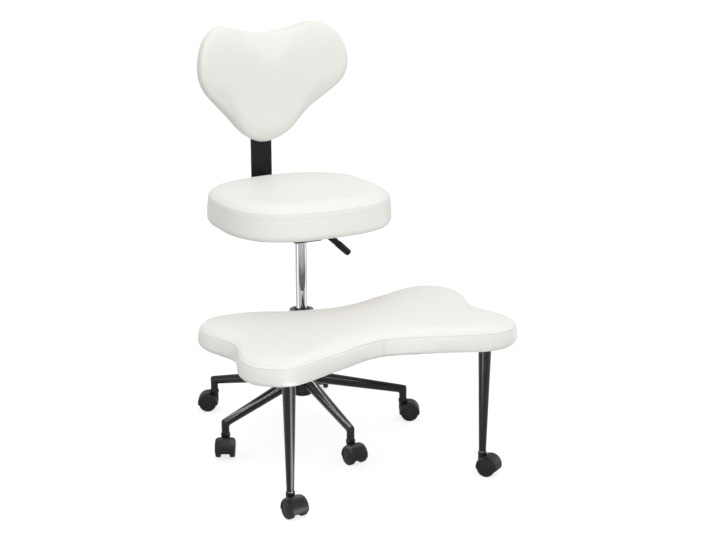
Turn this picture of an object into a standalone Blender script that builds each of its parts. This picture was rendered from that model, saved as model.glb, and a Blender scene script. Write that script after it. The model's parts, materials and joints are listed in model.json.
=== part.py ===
"""Cross-legged office chair.

A gas-lift seat with a heart-shaped back turns on a five-arm base with casters. A bone-shaped footrest on two
legs, with casters of its own, swings round the same column. Metres, +Z up, and the sitter faces -Y. The
origin is the centre of the footprint on the floor; every piece is placed from the column's axis.
"""

from math import asin, cos, degrees, pi, radians, sin

import bmesh
import bpy
from mathutils import Matrix, Vector

# Gap left between two pieces that touch
CLEARANCE = 0.0003

# Casters: twin wheels under a hood, all seven alike
WHEEL_RADIUS = 0.022
WHEEL_WIDTH = 0.0122
WHEEL_EDGE = 0.003
WHEEL_SIDES = 20
AXLE_RADIUS = 0.003
AXLE_INSET = 0.001
AXLE_SIDES = 12
HOOD_WALL = 0.0025
HOOD_TREAD_GAP = 0.0012
HOOD_SIDE_GAP = 0.0005
HOOD_SKIRT_DEG = 12.0
HOOD_STEPS = 10
HOOD_WEB_FOOT = 0.016
HOOD_WEB_CHEEK = 0.0005
BOSS_WALL = 0.0045
BOSS_DEPTH = 0.025
BOSS_SIDES = 16
CASTER_TRAIL = 0.017
CASTER_RISE = 0.007
STEM_RADIUS = 0.0055
STEM_REACH = 0.020
STEM_SINK = 0.016
STEM_COLLAR_STEP = 0.0025
STEM_COLLAR_HEIGHT = 0.0025
STEM_SIDES = 12

# Way each caster trails at rest, counter-clockwise from +X: base arms first, then the footrest's two legs
BASE_HEADINGS_DEG = (278.0, 333.0, 60.0, 153.0, 243.0)
FOOTREST_HEADINGS_DEG = {"left": 303.0, "right": 278.0}

# Base
BASE_RADIUS = 0.257
ARM_COUNT = 5
FIRST_ARM_DEG = 271.0
ARM_ROOT_HEIGHT = 0.030
ARM_ROOT_WIDTH = 0.031
ARM_TIP_HEIGHT = 0.0215
ARM_TIP_LEVEL = 0.080
ARM_ROOT_LEVEL = 0.127
ARM_SIDES = 16
STUB_WALL = 0.004
HUB_WALL = 0.008
HUB_HEIGHT = 0.050

# Gas column
TUBE_RADIUS = 0.025
TUBE_WALL = 0.002
TUBE_FLOOR = 0.003
TUBE_TOP = 0.2985
TUBE_TAIL = 0.016
BUSH_LENGTH = 0.080
BUSH_FLANGE_SET_IN = 0.0005
BUSH_FLANGE = 0.003
BUSH_NOSE_WALL = 0.0035
BEARING_WALL = 0.0075
BEARING_HEIGHT = 0.007
ROD_RADIUS = 0.005
ROD_SHOULDER_STEP = 0.004
ROD_SHOULDER = 0.004
PISTON_HEIGHT = 0.012
LIFT_STROKE = 0.100
LIFT_END_PLAY = 0.003
CYLINDER_RADIUS = 0.014
CYLINDER_WALL = 0.0022
CYLINDER_GLAND = 0.006
CYLINDER_PLUG = 0.020
CYLINDER_CONE = 0.018
CYLINDER_CONE_SET_IN = 0.001
VALVE_RADIUS = 0.003
VALVE_SINK = 0.016
VALVE_PROUD = 0.0055
VALVE_SIDES = 12
COLUMN_SIDES = 24

# Seat
SEAT_UNDERSIDE = 0.527
SEAT_WIDTH = 0.429
SEAT_DEPTH = 0.393
SEAT_SETBACK = 0.008
SEAT_POWER = 2.7
SEAT_POINTS = 48
SEAT_SIDE = 0.068
SEAT_CROWN = 0.016
SEAT_BOARD = 0.012
SEAT_BOARD_MARGIN = 0.022

# Seat mechanism and its lever
MECHANISM_WALL = 0.003
MECHANISM_HEIGHT = 0.0377
MECHANISM_FRONT = 0.050
MECHANISM_REAR = 0.085
MECHANISM_PLATE_WIDTH = 0.150
SOCKET_HEIGHT = 0.007
SOCKET_WALL = 0.012
CYLINDER_INTO_MECHANISM = 0.017
LEVER_RADIUS = 0.004
LEVER_HOLE_GAP = 0.0005
LEVER_HOLE_SIDES = 16
LEVER_INNER_END = 0.004
LEVER_BEND = 0.0495
LEVER_BEND_ROUND = 0.008
LEVER_DROP_DEG = 43.0
GRIP_START = 0.018
GRIP_LENGTH = 0.092
GRIP_SOCKET = 0.022
GRIP_HALF_WIDTH = 0.0072
GRIP_HALF_THICKNESS = 0.0055
GRIP_SIDES = 12

# Back
BAR_WIDTH = 0.056
BAR_THICKNESS = 0.006
BAR_BEND_RADIUS = 0.012
BAR_SIDE_GAP = 0.0005
BAR_INNER_END = 0.035
BAR_OVERLAP = 0.190
BAR_BEND_STEPS = 5
BACK_GAP = 0.0245
BACK_BOTTOM = 0.690
BACK_WIDTH = 0.395
BACK_HEIGHT = 0.300
BACK_SIDE = 0.046
BACK_CROWN = 0.014
BACK_REAR_EDGE = 0.018
BACK_EDGE = 0.015
BACK_EDGE_STEPS = 3
BACK_BOARD = 0.008
BACK_BOARD_MARGIN = 0.030
BACK_BEND_RADIUS = 0.320
BACK_POINTS = 52

# Footrest
FOOTREST_UNDERSIDE = 0.311
FOOTREST_WIDTH = 0.680
FOOTREST_DEPTH = 0.403
FOOTREST_GAP = 0.104
FOOTREST_SIDE = 0.046
FOOTREST_CROWN = 0.014
FOOTREST_BOARD = 0.012
FOOTREST_BOARD_MARGIN = 0.010
FOOTREST_POINTS = 64
LEG_INSET_X = 0.0945
LEG_INSET_Y = 0.048
LEG_TOP_RADIUS = 0.015
LEG_FOOT_WALL = 0.003
LEG_SIDES = 20
LEG_PLATE_RADIUS = 0.023
LEG_PLATE = 0.003
BRACKET_WIDTH = 0.060
BRACKET_THICKNESS = 0.005
BRACKET_SLEEVE = 0.045
BRACKET_SLEEVE_WALL = 0.004
BRACKET_STEP_START = 0.050
BRACKET_STEP_END = 0.075
BRACKET_UNDER_BOARD = 0.190

# Upholstery shared by the cushions
CUSHION_EDGE = 0.012
SEAM_INSET = 0.004
SEAM_DEPTH = 0.002
SEAM_BAND = 0.005

# Half outlines from front to back, as shares of half the width and half the depth, mirrored about x = 0
FOOTREST_OUTLINE = ((0, 0.63), (0.42, 0.82), (0.76, 1), (0.955, 0.84), (1, 0.52), (0.92, 0),
                    (1, -0.52), (0.955, -0.84), (0.78, -1), (0.42, -0.83), (0, -0.68))
# The same for the heart, from bottom to top, as shares of half the width and of the height
BACK_OUTLINE = ((0, 0), (0.30, 0.068), (0.60, 0.28), (0.93, 0.50), (1, 0.70), (0.90, 0.90),
                (0.643, 1), (0.30, 0.95), (0, 0.915))

# The grip's sections from its mouth to its tip: place, width and thickness as shares of the grip's own
GRIP_SECTIONS = ((0, 0.85, 0.85), (0.05, 1, 1), (0.4, 0.95, 0.9), (0.55, 1.1, 0.95), (0.95, 1.1, 0.95),
                 (1, 0.8, 0.7))
# Share of the heart's height at which its layers shrink together
BACK_MIDDLE = 0.6

# Radii worked out from the sizes above
STEM_COLLAR_RADIUS = STEM_RADIUS + STEM_COLLAR_STEP
BOSS_RADIUS = STEM_RADIUS + BOSS_WALL
STUB_RADIUS = STEM_RADIUS + STUB_WALL
LEG_FOOT_RADIUS = STEM_RADIUS + LEG_FOOT_WALL
TREAD_RADIUS = WHEEL_RADIUS / cos(pi / WHEEL_SIDES)
HOOD_INNER = TREAD_RADIUS + HOOD_TREAD_GAP
HOOD_OUTER = HOOD_INNER + HOOD_WALL
HOOD_WEB = 2 * (BOSS_RADIUS + HOOD_WEB_CHEEK)
HUB_RADIUS = TUBE_RADIUS + HUB_WALL
BUSH_FLANGE_RADIUS = TUBE_RADIUS - BUSH_FLANGE_SET_IN
BUSH_NOSE_RADIUS = CYLINDER_RADIUS + BUSH_NOSE_WALL
BEARING_RADIUS = ROD_RADIUS + BEARING_WALL
ROD_SHOULDER_RADIUS = ROD_RADIUS + ROD_SHOULDER_STEP

# Heights worked out from the sizes above
CASTER_HEIGHT = WHEEL_RADIUS + HOOD_OUTER + CASTER_RISE
TUBE_BOTTOM = ARM_ROOT_LEVEL - HUB_HEIGHT / 2 - TUBE_TAIL
BEARING_FOOT = TUBE_BOTTOM + TUBE_FLOOR + CLEARANCE
SHOULDER_FOOT = BEARING_FOOT + BEARING_HEIGHT + CLEARANCE
CYLINDER_BOTTOM = SHOULDER_FOOT + ROD_SHOULDER + LIFT_STROKE + LIFT_END_PLAY
MECHANISM_TOP = SEAT_UNDERSIDE - CLEARANCE
MECHANISM_FLOOR = MECHANISM_TOP - MECHANISM_HEIGHT
SOCKET_FOOT = MECHANISM_FLOOR - SOCKET_HEIGHT
CYLINDER_TOP = SOCKET_FOOT + CYLINDER_INTO_MECHANISM
LEVER_LEVEL = CYLINDER_TOP + VALVE_PROUD + CLEARANCE + LEVER_RADIUS
BUSH_SHELF = TUBE_TOP + CLEARANCE + BUSH_FLANGE
BACK_FACE = SEAT_SETBACK + SEAT_DEPTH / 2 + BACK_GAP

# Finishes: colour, roughness, metallic
FINISHES = {
    "white_leatherette": ((0.88, 0.87, 0.84), 0.55, 0.0),
    "black_powder_coat": ((0.020, 0.020, 0.022), 0.45, 0.3),
    "chrome": ((0.85, 0.85, 0.86), 0.08, 1.0),
    "black_nylon": ((0.018, 0.018, 0.018), 0.5, 0.0),
    "plywood": ((0.60, 0.45, 0.28), 0.7, 0.0),
    "bright_steel": ((0.55, 0.55, 0.56), 0.3, 1.0),
}


def clear_scene():
    for item in list(bpy.data.objects):
        bpy.data.objects.remove(item, do_unlink=True)


def new_collection(name):
    collection = bpy.data.collections.new(name)
    bpy.context.scene.collection.children.link(collection)
    return collection


def finish(name):
    """The Principled material of one finish, made once."""
    if name in bpy.data.materials:
        return bpy.data.materials[name]
    colour, roughness, metallic = FINISHES[name]
    material = bpy.data.materials.new(name)
    material.use_nodes = True
    shader = material.node_tree.nodes["Principled BSDF"]
    shader.inputs["Base Color"].default_value = (*colour, 1.0)
    shader.inputs["Roughness"].default_value = roughness
    shader.inputs["Metallic"].default_value = metallic
    return material


def empty(name, location, parent=None, turn_deg=0.0):
    marker = bpy.data.objects.new(name, None)
    PARTS.objects.link(marker)
    marker.parent = parent
    marker.location = location
    marker.rotation_euler.z = radians(turn_deg)
    return marker


def piece(name, mesh, finish_name, parent, location=(0, 0, 0), rotation=(0, 0, 0)):
    """One named sub-part. Its mesh may be shared with its copies."""
    item = bpy.data.objects.new(name, mesh)
    PARTS.objects.link(item)
    item.parent = parent
    item.location = location
    item.rotation_euler = rotation
    mesh.materials.clear()
    mesh.materials.append(finish(finish_name))
    return item


def baked(item):
    """The evaluated mesh of a helper object, which is then removed."""
    bpy.context.view_layer.update()
    graph = bpy.context.evaluated_depsgraph_get()
    mesh = bpy.data.meshes.new_from_object(item.evaluated_get(graph))
    mesh.transform(item.matrix_world)
    bpy.data.objects.remove(item, do_unlink=True)
    return mesh


def helper(name, data):
    """A cutter or guide: drawn as wire and left out of the part."""
    item = bpy.data.objects.new(name, data)
    CUTTERS.objects.link(item)
    item.hide_render = True
    item.display_type = "WIRE"
    return item


def bore(radius, sides):
    """Corner radius of a faceted hole that clears a shaft of this radius."""
    return (radius + CLEARANCE) / cos(pi / sides)


def turned(profile, sides, solid=False):
    """A profile of (radius, height) points, listed down its outer side, turned about Z.

    A ring's profile is a closed loop. A solid's profile starts and ends on the axis.
    """
    count = len(profile)
    links = [(i, i + 1) for i in range(count - 1)]
    if not solid:
        links.append((count - 1, 0))
    mesh = bpy.data.meshes.new("profile")
    mesh.from_pydata([(radius, 0, height) for radius, height in profile], links, [])
    item = helper("turning", mesh)
    screw = item.modifiers.new("turn", "SCREW")
    screw.axis = "Z"
    screw.angle = 2 * pi
    screw.steps = screw.render_steps = sides
    screw.use_merge_vertices = True
    screw.merge_threshold = 0.00001
    return smooth(baked(item))


def smooth(mesh, angle_deg=35.0):
    mesh.shade_smooth()
    mesh.set_sharp_from_angle(angle=radians(angle_deg))
    return mesh


def plate(outline, thickness, matrix=Matrix()):
    """A flat outline in XY, as thick as given and centred on z = 0, then placed by the matrix."""
    curve = bpy.data.curves.new("outline", "CURVE")
    curve.dimensions = "2D"
    curve.fill_mode = "BOTH"
    curve.extrude = thickness / 2
    spline = curve.splines.new("POLY")
    spline.points.add(len(outline) - 1)
    for point, (x, y) in zip(spline.points, outline):
        point.co = (x, y, 0, 1)
    spline.use_cyclic_u = True
    mesh = weld(baked(helper("outline", curve)))
    mesh.transform(matrix)
    return mesh


def weld(mesh):
    """Join a curve's loose caps to its sides and turn all faces outwards."""
    body = bmesh.new()
    body.from_mesh(mesh)
    bmesh.ops.remove_doubles(body, verts=body.verts, dist=0.00001)
    bmesh.ops.recalc_face_normals(body, faces=body.faces)
    body.to_mesh(mesh)
    body.free()
    return mesh


def block(low, high):
    """A box between two corners."""
    low, high = Vector(low), Vector(high)
    body = bmesh.new()
    size = Matrix.Diagonal((*(high - low), 1))
    bmesh.ops.create_cube(body, size=1, matrix=Matrix.Translation((low + high) / 2) @ size)
    mesh = bpy.data.meshes.new("block")
    body.to_mesh(mesh)
    body.free()
    return mesh


def rod(radius, low, high, sides, matrix=Matrix()):
    """A plain cylinder about Z between two heights, then placed by the matrix."""
    mesh = turned([(0, high), (radius, high), (radius, low), (0, low)], sides, solid=True)
    mesh.transform(matrix)
    return mesh


def loft(rings, split=False):
    """A closed skin through rings of equally many points, capped at both ends.

    Split skins have all their four-sided faces halved along the same diagonal, so that nested ones stay
    parallel.
    """
    body = bmesh.new()
    loops = [[body.verts.new(point) for point in ring] for ring in rings]
    for near, far in zip(loops, loops[1:]):
        for i in range(len(near)):
            j = i - 1
            body.faces.new((near[j], near[i], far[i], far[j]))
    body.faces.new(loops[0])
    body.faces.new(loops[-1])
    bmesh.ops.recalc_face_normals(body, faces=body.faces)
    if split:
        bmesh.ops.triangulate(body, faces=body.faces, quad_method="FIXED")
    mesh = bpy.data.meshes.new("loft")
    body.to_mesh(mesh)
    body.free()
    return smooth(mesh)


def combined(mesh, joined=(), cut=()):
    """A body with other meshes joined to it and then others cut out of it."""
    item = helper("body", mesh)
    others = []
    for operation, meshes in (("UNION", joined), ("DIFFERENCE", cut)):
        for other in meshes:
            tool = helper("tool", other)
            others.append(tool)
            boolean = item.modifiers.new(operation, "BOOLEAN")
            boolean.operation = operation
            boolean.object = tool
    result = baked(item)
    for tool in others:
        bpy.data.objects.remove(tool, do_unlink=True)
    return smooth(result)


def curve_through(points, count):
    """A closed smooth curve through points, cut into equal steps along its length.

    Each stretch is a Catmull-Rom cubic.
    """
    total = len(points)
    fine_steps = 24
    fine = []
    for i in range(total):
        before, start, end, after = (Vector(points[(i + k) % total]) for k in (-1, 0, 1, 2))
        for step in range(fine_steps):
            t = step / fine_steps
            fine.append((2 * start + (end - before) * t + (2 * before - 5 * start + 4 * end - after) * t ** 2
                         + (3 * start - before - 3 * end + after) * t ** 3) / 2)
    spans = [(fine[(i + 1) % len(fine)] - fine[i]).length for i in range(len(fine))]
    pace = sum(spans) / count
    outline, travelled, wanted = [], 0.0, 0.0
    for i, span in enumerate(spans):
        while wanted < travelled + span - 1e-9 and len(outline) < count:
            outline.append(fine[i].lerp(fine[(i + 1) % len(fine)], (wanted - travelled) / span))
            wanted += pace
        travelled += span
    return outline


def mirrored(half):
    """A half outline, which starts and ends on x = 0, with its mirror image after it."""
    return list(half) + [(-x, y) for x, y in reversed(half[1:-1])]


def superellipse(half_width, half_depth, power, count):
    """|x/a|^n + |y/b|^n = 1, at even steps of angle."""
    outline = []
    for i in range(count):
        across, along = cos(2 * pi * i / count), sin(2 * pi * i / count)
        reach = (abs(across) ** power + abs(along) ** power) ** (-1 / power)
        outline.append(Vector((half_width * reach * across, half_depth * reach * along)))
    return outline


def ring(outline, share, inset, height):
    """An outline shrunk about its centre by a share, then drawn in by a length, at a height."""
    return [Vector((*(point * share * (1 - inset / point.length)), height)) for point in outline]


def edge_layers(radius, steps=2):
    """The rounded lower edge of a cushion, as (share, inset, height) layers."""
    angles = [pi / 2 * k / steps for k in range(steps + 1)]
    return [(1, radius * (1 - sin(a)), radius * (1 - cos(a))) for a in angles]


def crown_layers(foot, crown, inset, shares=(0.93, 0.8, 0.55, 0.2)):
    """A swelling top that rises fast from the edge and flattens in the middle."""
    return [(share, inset * share, foot + crown * (1 - share ** 4)) for share in shares]


def seamed_cushion(outline, side, crown):
    """A padded block: rounded foot, bulging side, a drawn-in seam round the top edge and a crown."""
    layers = edge_layers(CUSHION_EDGE)
    layers.append((1, 0, side / 2))
    layers.append((1, SEAM_INSET - SEAM_DEPTH, side - SEAM_BAND))
    layers.append((1, SEAM_INSET + SEAM_DEPTH, side))
    layers.append((1, SEAM_INSET + SEAM_DEPTH / 2, side + SEAM_BAND / 2))
    layers += crown_layers(side + SEAM_BAND / 2, crown - SEAM_BAND / 2, SEAM_INSET)
    return loft([ring(outline, *layer) for layer in layers])


def board_and_pocket(outline, margin, thickness):
    """A flat board inside a cushion's foot, and the cutter for the pocket that it lies in."""
    inner = ring(outline, 1, margin, 0)
    board = plate([point.xy for point in inner], thickness, Matrix.Translation((0, 0, thickness / 2)))
    outer = [point.xy for point in ring(outline, 1, margin - CLEARANCE, 0)]
    depth = 2 * (thickness + CLEARANCE)
    return board, plate(outer, depth)


def arc(centre, radius, start_deg, end_deg, steps):
    """Points on a circle from one angle to another."""
    angles = [radians(start_deg + (end_deg - start_deg) * k / steps) for k in range(steps + 1)]
    return [(centre[0] + radius * cos(a), centre[1] + radius * sin(a)) for a in angles]


# Puts an outline drawn in XY on its side: its x stays, its y points up
UPRIGHT = Matrix.Rotation(radians(90), 4, "X")
# Puts an outline of (y, z) points in the chair's middle plane, with its thickness across
SIDEWAYS = Matrix(((0, 0, 1, 0), (1, 0, 0, 0), (0, 1, 0, 0), (0, 0, 0, 1)))


def caster_meshes():
    """The five pieces of a caster about its swivel axis, trailing along +X with its axle along Y."""
    axle_at = Matrix.Translation((CASTER_TRAIL, 0, WHEEL_RADIUS)) @ UPRIGHT
    web = (HOOD_INNER + HOOD_OUTER) / 2
    wheel_inner = HOOD_WEB / 2 + HOOD_SIDE_GAP
    half_width = wheel_inner + WHEEL_WIDTH + HOOD_SIDE_GAP
    skirt = HOOD_SKIRT_DEG
    foot = degrees(asin((WHEEL_RADIUS - HOOD_WEB_FOOT) / web))
    outside = arc((0, 0), HOOD_OUTER, -skirt, 180 + skirt, HOOD_STEPS)
    inside = arc((0, 0), HOOD_INNER, 180 + skirt, -skirt, HOOD_STEPS)
    shell = plate(outside + inside, 2 * half_width, axle_at)
    middle = plate(arc((0, 0), web, -foot, 180 + foot, HOOD_STEPS), HOOD_WEB, axle_at)
    boss_top = CASTER_HEIGHT - STEM_COLLAR_HEIGHT - 2 * CLEARANCE
    boss = rod(BOSS_RADIUS, boss_top - BOSS_DEPTH, boss_top, BOSS_SIDES)
    stem_foot = boss_top - STEM_SINK
    stem_hole = rod(bore(STEM_RADIUS, BOSS_SIDES), stem_foot - CLEARANCE, boss_top + BOSS_DEPTH, BOSS_SIDES)
    axle_hole = rod(bore(AXLE_RADIUS, AXLE_SIDES), -HOOD_WEB, HOOD_WEB, AXLE_SIDES, axle_at)
    hood = combined(shell, joined=[middle, boss], cut=[stem_hole, axle_hole])

    collar_top = CASTER_HEIGHT - CLEARANCE
    collar_foot = collar_top - STEM_COLLAR_HEIGHT
    stem = turned([(0, CASTER_HEIGHT + STEM_REACH), (STEM_RADIUS, CASTER_HEIGHT + STEM_REACH),
                   (STEM_RADIUS, collar_top), (STEM_COLLAR_RADIUS, collar_top),
                   (STEM_COLLAR_RADIUS, collar_foot), (STEM_RADIUS, collar_foot),
                   (STEM_RADIUS, stem_foot), (0, stem_foot)], STEM_SIDES, solid=True)
    axle_end = wheel_inner + WHEEL_WIDTH - AXLE_INSET
    axle = rod(AXLE_RADIUS, -axle_end, axle_end, AXLE_SIDES)
    hole = bore(AXLE_RADIUS, WHEEL_SIDES)
    near, far = wheel_inner, wheel_inner + WHEEL_WIDTH
    wheel = turned([(hole, far), (TREAD_RADIUS - WHEEL_EDGE, far), (TREAD_RADIUS, far - WHEEL_EDGE),
                    (TREAD_RADIUS, near), (hole, near)], WHEEL_SIDES)
    return {"stem": stem, "hood": hood, "axle": axle, "wheel": wheel}


def add_caster(name, place, heading_deg, parent, meshes):
    """One caster on its own swivel marker. A wheel rests on one of its flats."""
    swivel = empty(f"{name}_swivel", place, parent, heading_deg)
    axle_at = (CASTER_TRAIL, 0, WHEEL_RADIUS)
    flat = pi / WHEEL_SIDES
    piece(f"{name}_stem", meshes["stem"], "bright_steel", swivel)
    piece(f"{name}_hood", meshes["hood"], "black_nylon", swivel)
    piece(f"{name}_axle", meshes["axle"], "bright_steel", swivel, axle_at, (pi / 2, 0, 0))
    wheel_sides = {"left": (-pi / 2, flat, 0), "right": (pi / 2, flat, 0)}
    for side, turn in wheel_sides.items():
        piece(f"{name}_wheel_{side}", meshes["wheel"], "black_nylon", swivel, axle_at, turn)


def arm_mesh():
    """A tapered arm along +X, mitred to a vertical stub with a socket for a caster's stem."""
    start = HUB_RADIUS + CLEARANCE
    slope = (ARM_ROOT_LEVEL - ARM_TIP_LEVEL) / (BASE_RADIUS - start)
    socket = bore(STEM_RADIUS, ARM_SIDES)
    socket_top = CASTER_HEIGHT + STEM_REACH + CLEARANCE
    rings = [[], [], [], [], []]
    for i in range(ARM_SIDES):
        across, up = cos(2 * pi * i / ARM_SIDES), sin(2 * pi * i / ARM_SIDES)
        x, y = BASE_RADIUS + STUB_RADIUS * up, STUB_RADIUS * across
        mitre = ARM_TIP_LEVEL + (ARM_TIP_HEIGHT / 2 - slope * STUB_RADIUS) * up
        rings[0].append((start, ARM_ROOT_WIDTH / 2 * across, ARM_ROOT_LEVEL + ARM_ROOT_HEIGHT / 2 * up))
        rings[1].append((x, y, mitre))
        rings[2].append((x, y, CASTER_HEIGHT))
        rings[3].append((BASE_RADIUS + socket * up, socket * across, CASTER_HEIGHT))
        rings[4].append((BASE_RADIUS + socket * up, socket * across, socket_top))
    return loft(rings)


def add_base(root, caster):
    hub_top = ARM_ROOT_LEVEL + HUB_HEIGHT / 2
    hub_foot = ARM_ROOT_LEVEL - HUB_HEIGHT / 2
    hub_bore = bore(TUBE_RADIUS, COLUMN_SIDES)
    hub = turned([(HUB_RADIUS, hub_top), (HUB_RADIUS, hub_foot), (hub_bore, hub_foot), (hub_bore, hub_top)],
                 COLUMN_SIDES)
    piece("base_hub", hub, "black_powder_coat", root)
    arm = arm_mesh()
    for i in range(ARM_COUNT):
        angle = FIRST_ARM_DEG + 360 * i / ARM_COUNT
        turn = (0, 0, radians(angle))
        piece(f"base_arm_{i + 1}", arm, "black_powder_coat", root, rotation=turn)
        place = (BASE_RADIUS * cos(radians(angle)), BASE_RADIUS * sin(radians(angle)), 0)
        add_caster(f"base_caster_{i + 1}", place, BASE_HEADINGS_DEG[i % len(BASE_HEADINGS_DEG)], root, caster)


def add_column(root):
    tube_inner = TUBE_RADIUS - TUBE_WALL
    tube_floor = TUBE_BOTTOM + TUBE_FLOOR
    rod_hole = bore(ROD_RADIUS, COLUMN_SIDES)
    tube = turned([(TUBE_RADIUS, TUBE_TOP), (TUBE_RADIUS, TUBE_BOTTOM), (rod_hole, TUBE_BOTTOM),
                   (rod_hole, tube_floor), (tube_inner, tube_floor), (tube_inner, TUBE_TOP)], COLUMN_SIDES)
    piece("outer_tube", tube, "black_powder_coat", root)

    bush_radius = tube_inner * cos(pi / COLUMN_SIDES) - CLEARANCE
    bush_bore = bore(CYLINDER_RADIUS, COLUMN_SIDES)
    flange_foot = TUBE_TOP + CLEARANCE
    nose_top = BUSH_SHELF + CLEARANCE + BRACKET_THICKNESS
    bush = turned([(BUSH_NOSE_RADIUS, nose_top), (BUSH_NOSE_RADIUS, BUSH_SHELF),
                   (BUSH_FLANGE_RADIUS, BUSH_SHELF), (BUSH_FLANGE_RADIUS, flange_foot),
                   (bush_radius, flange_foot), (bush_radius, TUBE_TOP - BUSH_LENGTH),
                   (bush_bore, TUBE_TOP - BUSH_LENGTH), (bush_bore, nose_top)], COLUMN_SIDES)
    piece("guide_bush", bush, "black_nylon", root)

    bearing_top = BEARING_FOOT + BEARING_HEIGHT
    bearing = turned([(BEARING_RADIUS, bearing_top), (BEARING_RADIUS, BEARING_FOOT), (rod_hole, BEARING_FOOT),
                      (rod_hole, bearing_top)], COLUMN_SIDES)
    piece("thrust_bearing", bearing, "bright_steel", root)

    shoulder_top = SHOULDER_FOOT + ROD_SHOULDER
    piston_foot = CYLINDER_BOTTOM + CYLINDER_GLAND + CLEARANCE
    piston_top = piston_foot + PISTON_HEIGHT
    chamber = CYLINDER_RADIUS - CYLINDER_WALL
    piston = chamber * cos(pi / COLUMN_SIDES) - CLEARANCE
    piston_rod = turned([(0, piston_top), (piston, piston_top), (piston, piston_foot),
                         (ROD_RADIUS, piston_foot), (ROD_RADIUS, shoulder_top),
                         (ROD_SHOULDER_RADIUS, shoulder_top), (ROD_SHOULDER_RADIUS, SHOULDER_FOOT),
                         (ROD_RADIUS, SHOULDER_FOOT), (ROD_RADIUS, TUBE_BOTTOM), (0, TUBE_BOTTOM)],
                        COLUMN_SIDES, solid=True)
    piece("piston_rod", piston_rod, "bright_steel", root)

    cone = CYLINDER_RADIUS - CYLINDER_CONE_SET_IN
    valve_hole = bore(VALVE_RADIUS, COLUMN_SIDES)
    plug = CYLINDER_TOP - CYLINDER_PLUG
    gland = CYLINDER_BOTTOM + CYLINDER_GLAND
    cylinder = turned([(cone, CYLINDER_TOP), (CYLINDER_RADIUS, CYLINDER_TOP - CYLINDER_CONE),
                       (CYLINDER_RADIUS, CYLINDER_BOTTOM), (rod_hole, CYLINDER_BOTTOM), (rod_hole, gland),
                       (chamber, gland), (chamber, plug), (valve_hole, plug), (valve_hole, CYLINDER_TOP)],
                      COLUMN_SIDES)
    piece("gas_cylinder", cylinder, "chrome", root)
    valve = rod(VALVE_RADIUS, CYLINDER_TOP - VALVE_SINK, CYLINDER_TOP + VALVE_PROUD, VALVE_SIDES)
    piece("valve_pin", valve, "bright_steel", root)


def add_mechanism(root):
    """A channel open at its front and rear, with a plate on top and a socket for the cylinder below."""
    inner = BAR_WIDTH / 2 + BAR_SIDE_GAP
    outer = inner + MECHANISM_WALL
    front, rear = -MECHANISM_FRONT, MECHANISM_REAR
    overhang = MECHANISM_WALL
    channel = block((-outer, front, MECHANISM_FLOOR), (outer, rear, MECHANISM_TOP))
    flange = block((-MECHANISM_PLATE_WIDTH / 2, front, MECHANISM_TOP - MECHANISM_WALL),
                   (MECHANISM_PLATE_WIDTH / 2, rear, MECHANISM_TOP))
    reach = CYLINDER_RADIUS + SOCKET_WALL
    socket = block((-reach, -reach, SOCKET_FOOT), (reach, reach, MECHANISM_FLOOR + MECHANISM_WALL / 2))
    hollow = block((-inner, front - overhang, MECHANISM_FLOOR + MECHANISM_WALL),
                   (inner, rear + overhang, MECHANISM_TOP - MECHANISM_WALL))
    seat_hole = rod(bore(CYLINDER_RADIUS, COLUMN_SIDES), SOCKET_FOOT - SOCKET_HEIGHT,
                    MECHANISM_FLOOR + 2 * MECHANISM_WALL, COLUMN_SIDES)
    lever_at = Matrix.Translation((0, 0, LEVER_LEVEL)) @ Matrix.Rotation(radians(90), 4, "Y")
    lever_hole = rod((LEVER_RADIUS + LEVER_HOLE_GAP) / cos(pi / LEVER_HOLE_SIDES), inner - overhang,
                     outer + overhang, LEVER_HOLE_SIDES, lever_at)
    mechanism = combined(channel, joined=[flange, socket], cut=[hollow, seat_hole, lever_hole])
    piece("seat_mechanism", mechanism, "black_powder_coat", root)

    fulcrum = (inner + outer) / 2
    pivot = empty("lever_pivot", (fulcrum, 0, LEVER_LEVEL), root)
    add_lever(pivot, fulcrum)


def add_lever(pivot, fulcrum):
    """A bent rod that presses the valve at its inner end, and the grip on its outer end."""
    drop = radians(LEVER_DROP_DEG)
    along = Vector((cos(drop), 0, -sin(drop)))
    bend = Vector((LEVER_BEND - fulcrum, 0, 0))
    inner_end = Vector((-fulcrum - LEVER_INNER_END, 0, 0))
    first, last = bend - Vector((LEVER_BEND_ROUND, 0, 0)), bend + along * LEVER_BEND_ROUND
    middle = (first + 2 * bend + last) / 4
    rod_end = bend + along * (GRIP_START + GRIP_SOCKET - CLEARANCE)
    curve = bpy.data.curves.new("lever", "CURVE")
    curve.dimensions = "3D"
    curve.bevel_depth = LEVER_RADIUS
    curve.bevel_resolution = 2
    curve.use_fill_caps = True
    route = [inner_end, first, middle, last, rod_end]
    spline = curve.splines.new("POLY")
    spline.points.add(len(route) - 1)
    for point, place in zip(spline.points, route):
        point.co = (*place, 1)
    piece("lever", smooth(weld(baked(helper("lever", curve)))), "black_powder_coat", pivot)

    upwards = Vector((sin(drop), 0, cos(drop)))
    socket = bore(LEVER_RADIUS, GRIP_SIDES)
    stations = [(GRIP_SOCKET, socket, socket), (0, socket, socket)]
    for place, wide, thick in GRIP_SECTIONS:
        stations.append((place * GRIP_LENGTH, wide * GRIP_HALF_WIDTH, thick * GRIP_HALF_THICKNESS))
    angles = [2 * pi * i / GRIP_SIDES for i in range(GRIP_SIDES)]
    rings = []
    for place, wide, thick in stations:
        centre = bend + along * (GRIP_START + place)
        rings.append([centre + Vector((0, wide * cos(a), 0)) + upwards * thick * sin(a) for a in angles])
    piece("lever_grip", loft(rings), "black_nylon", pivot)


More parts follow.
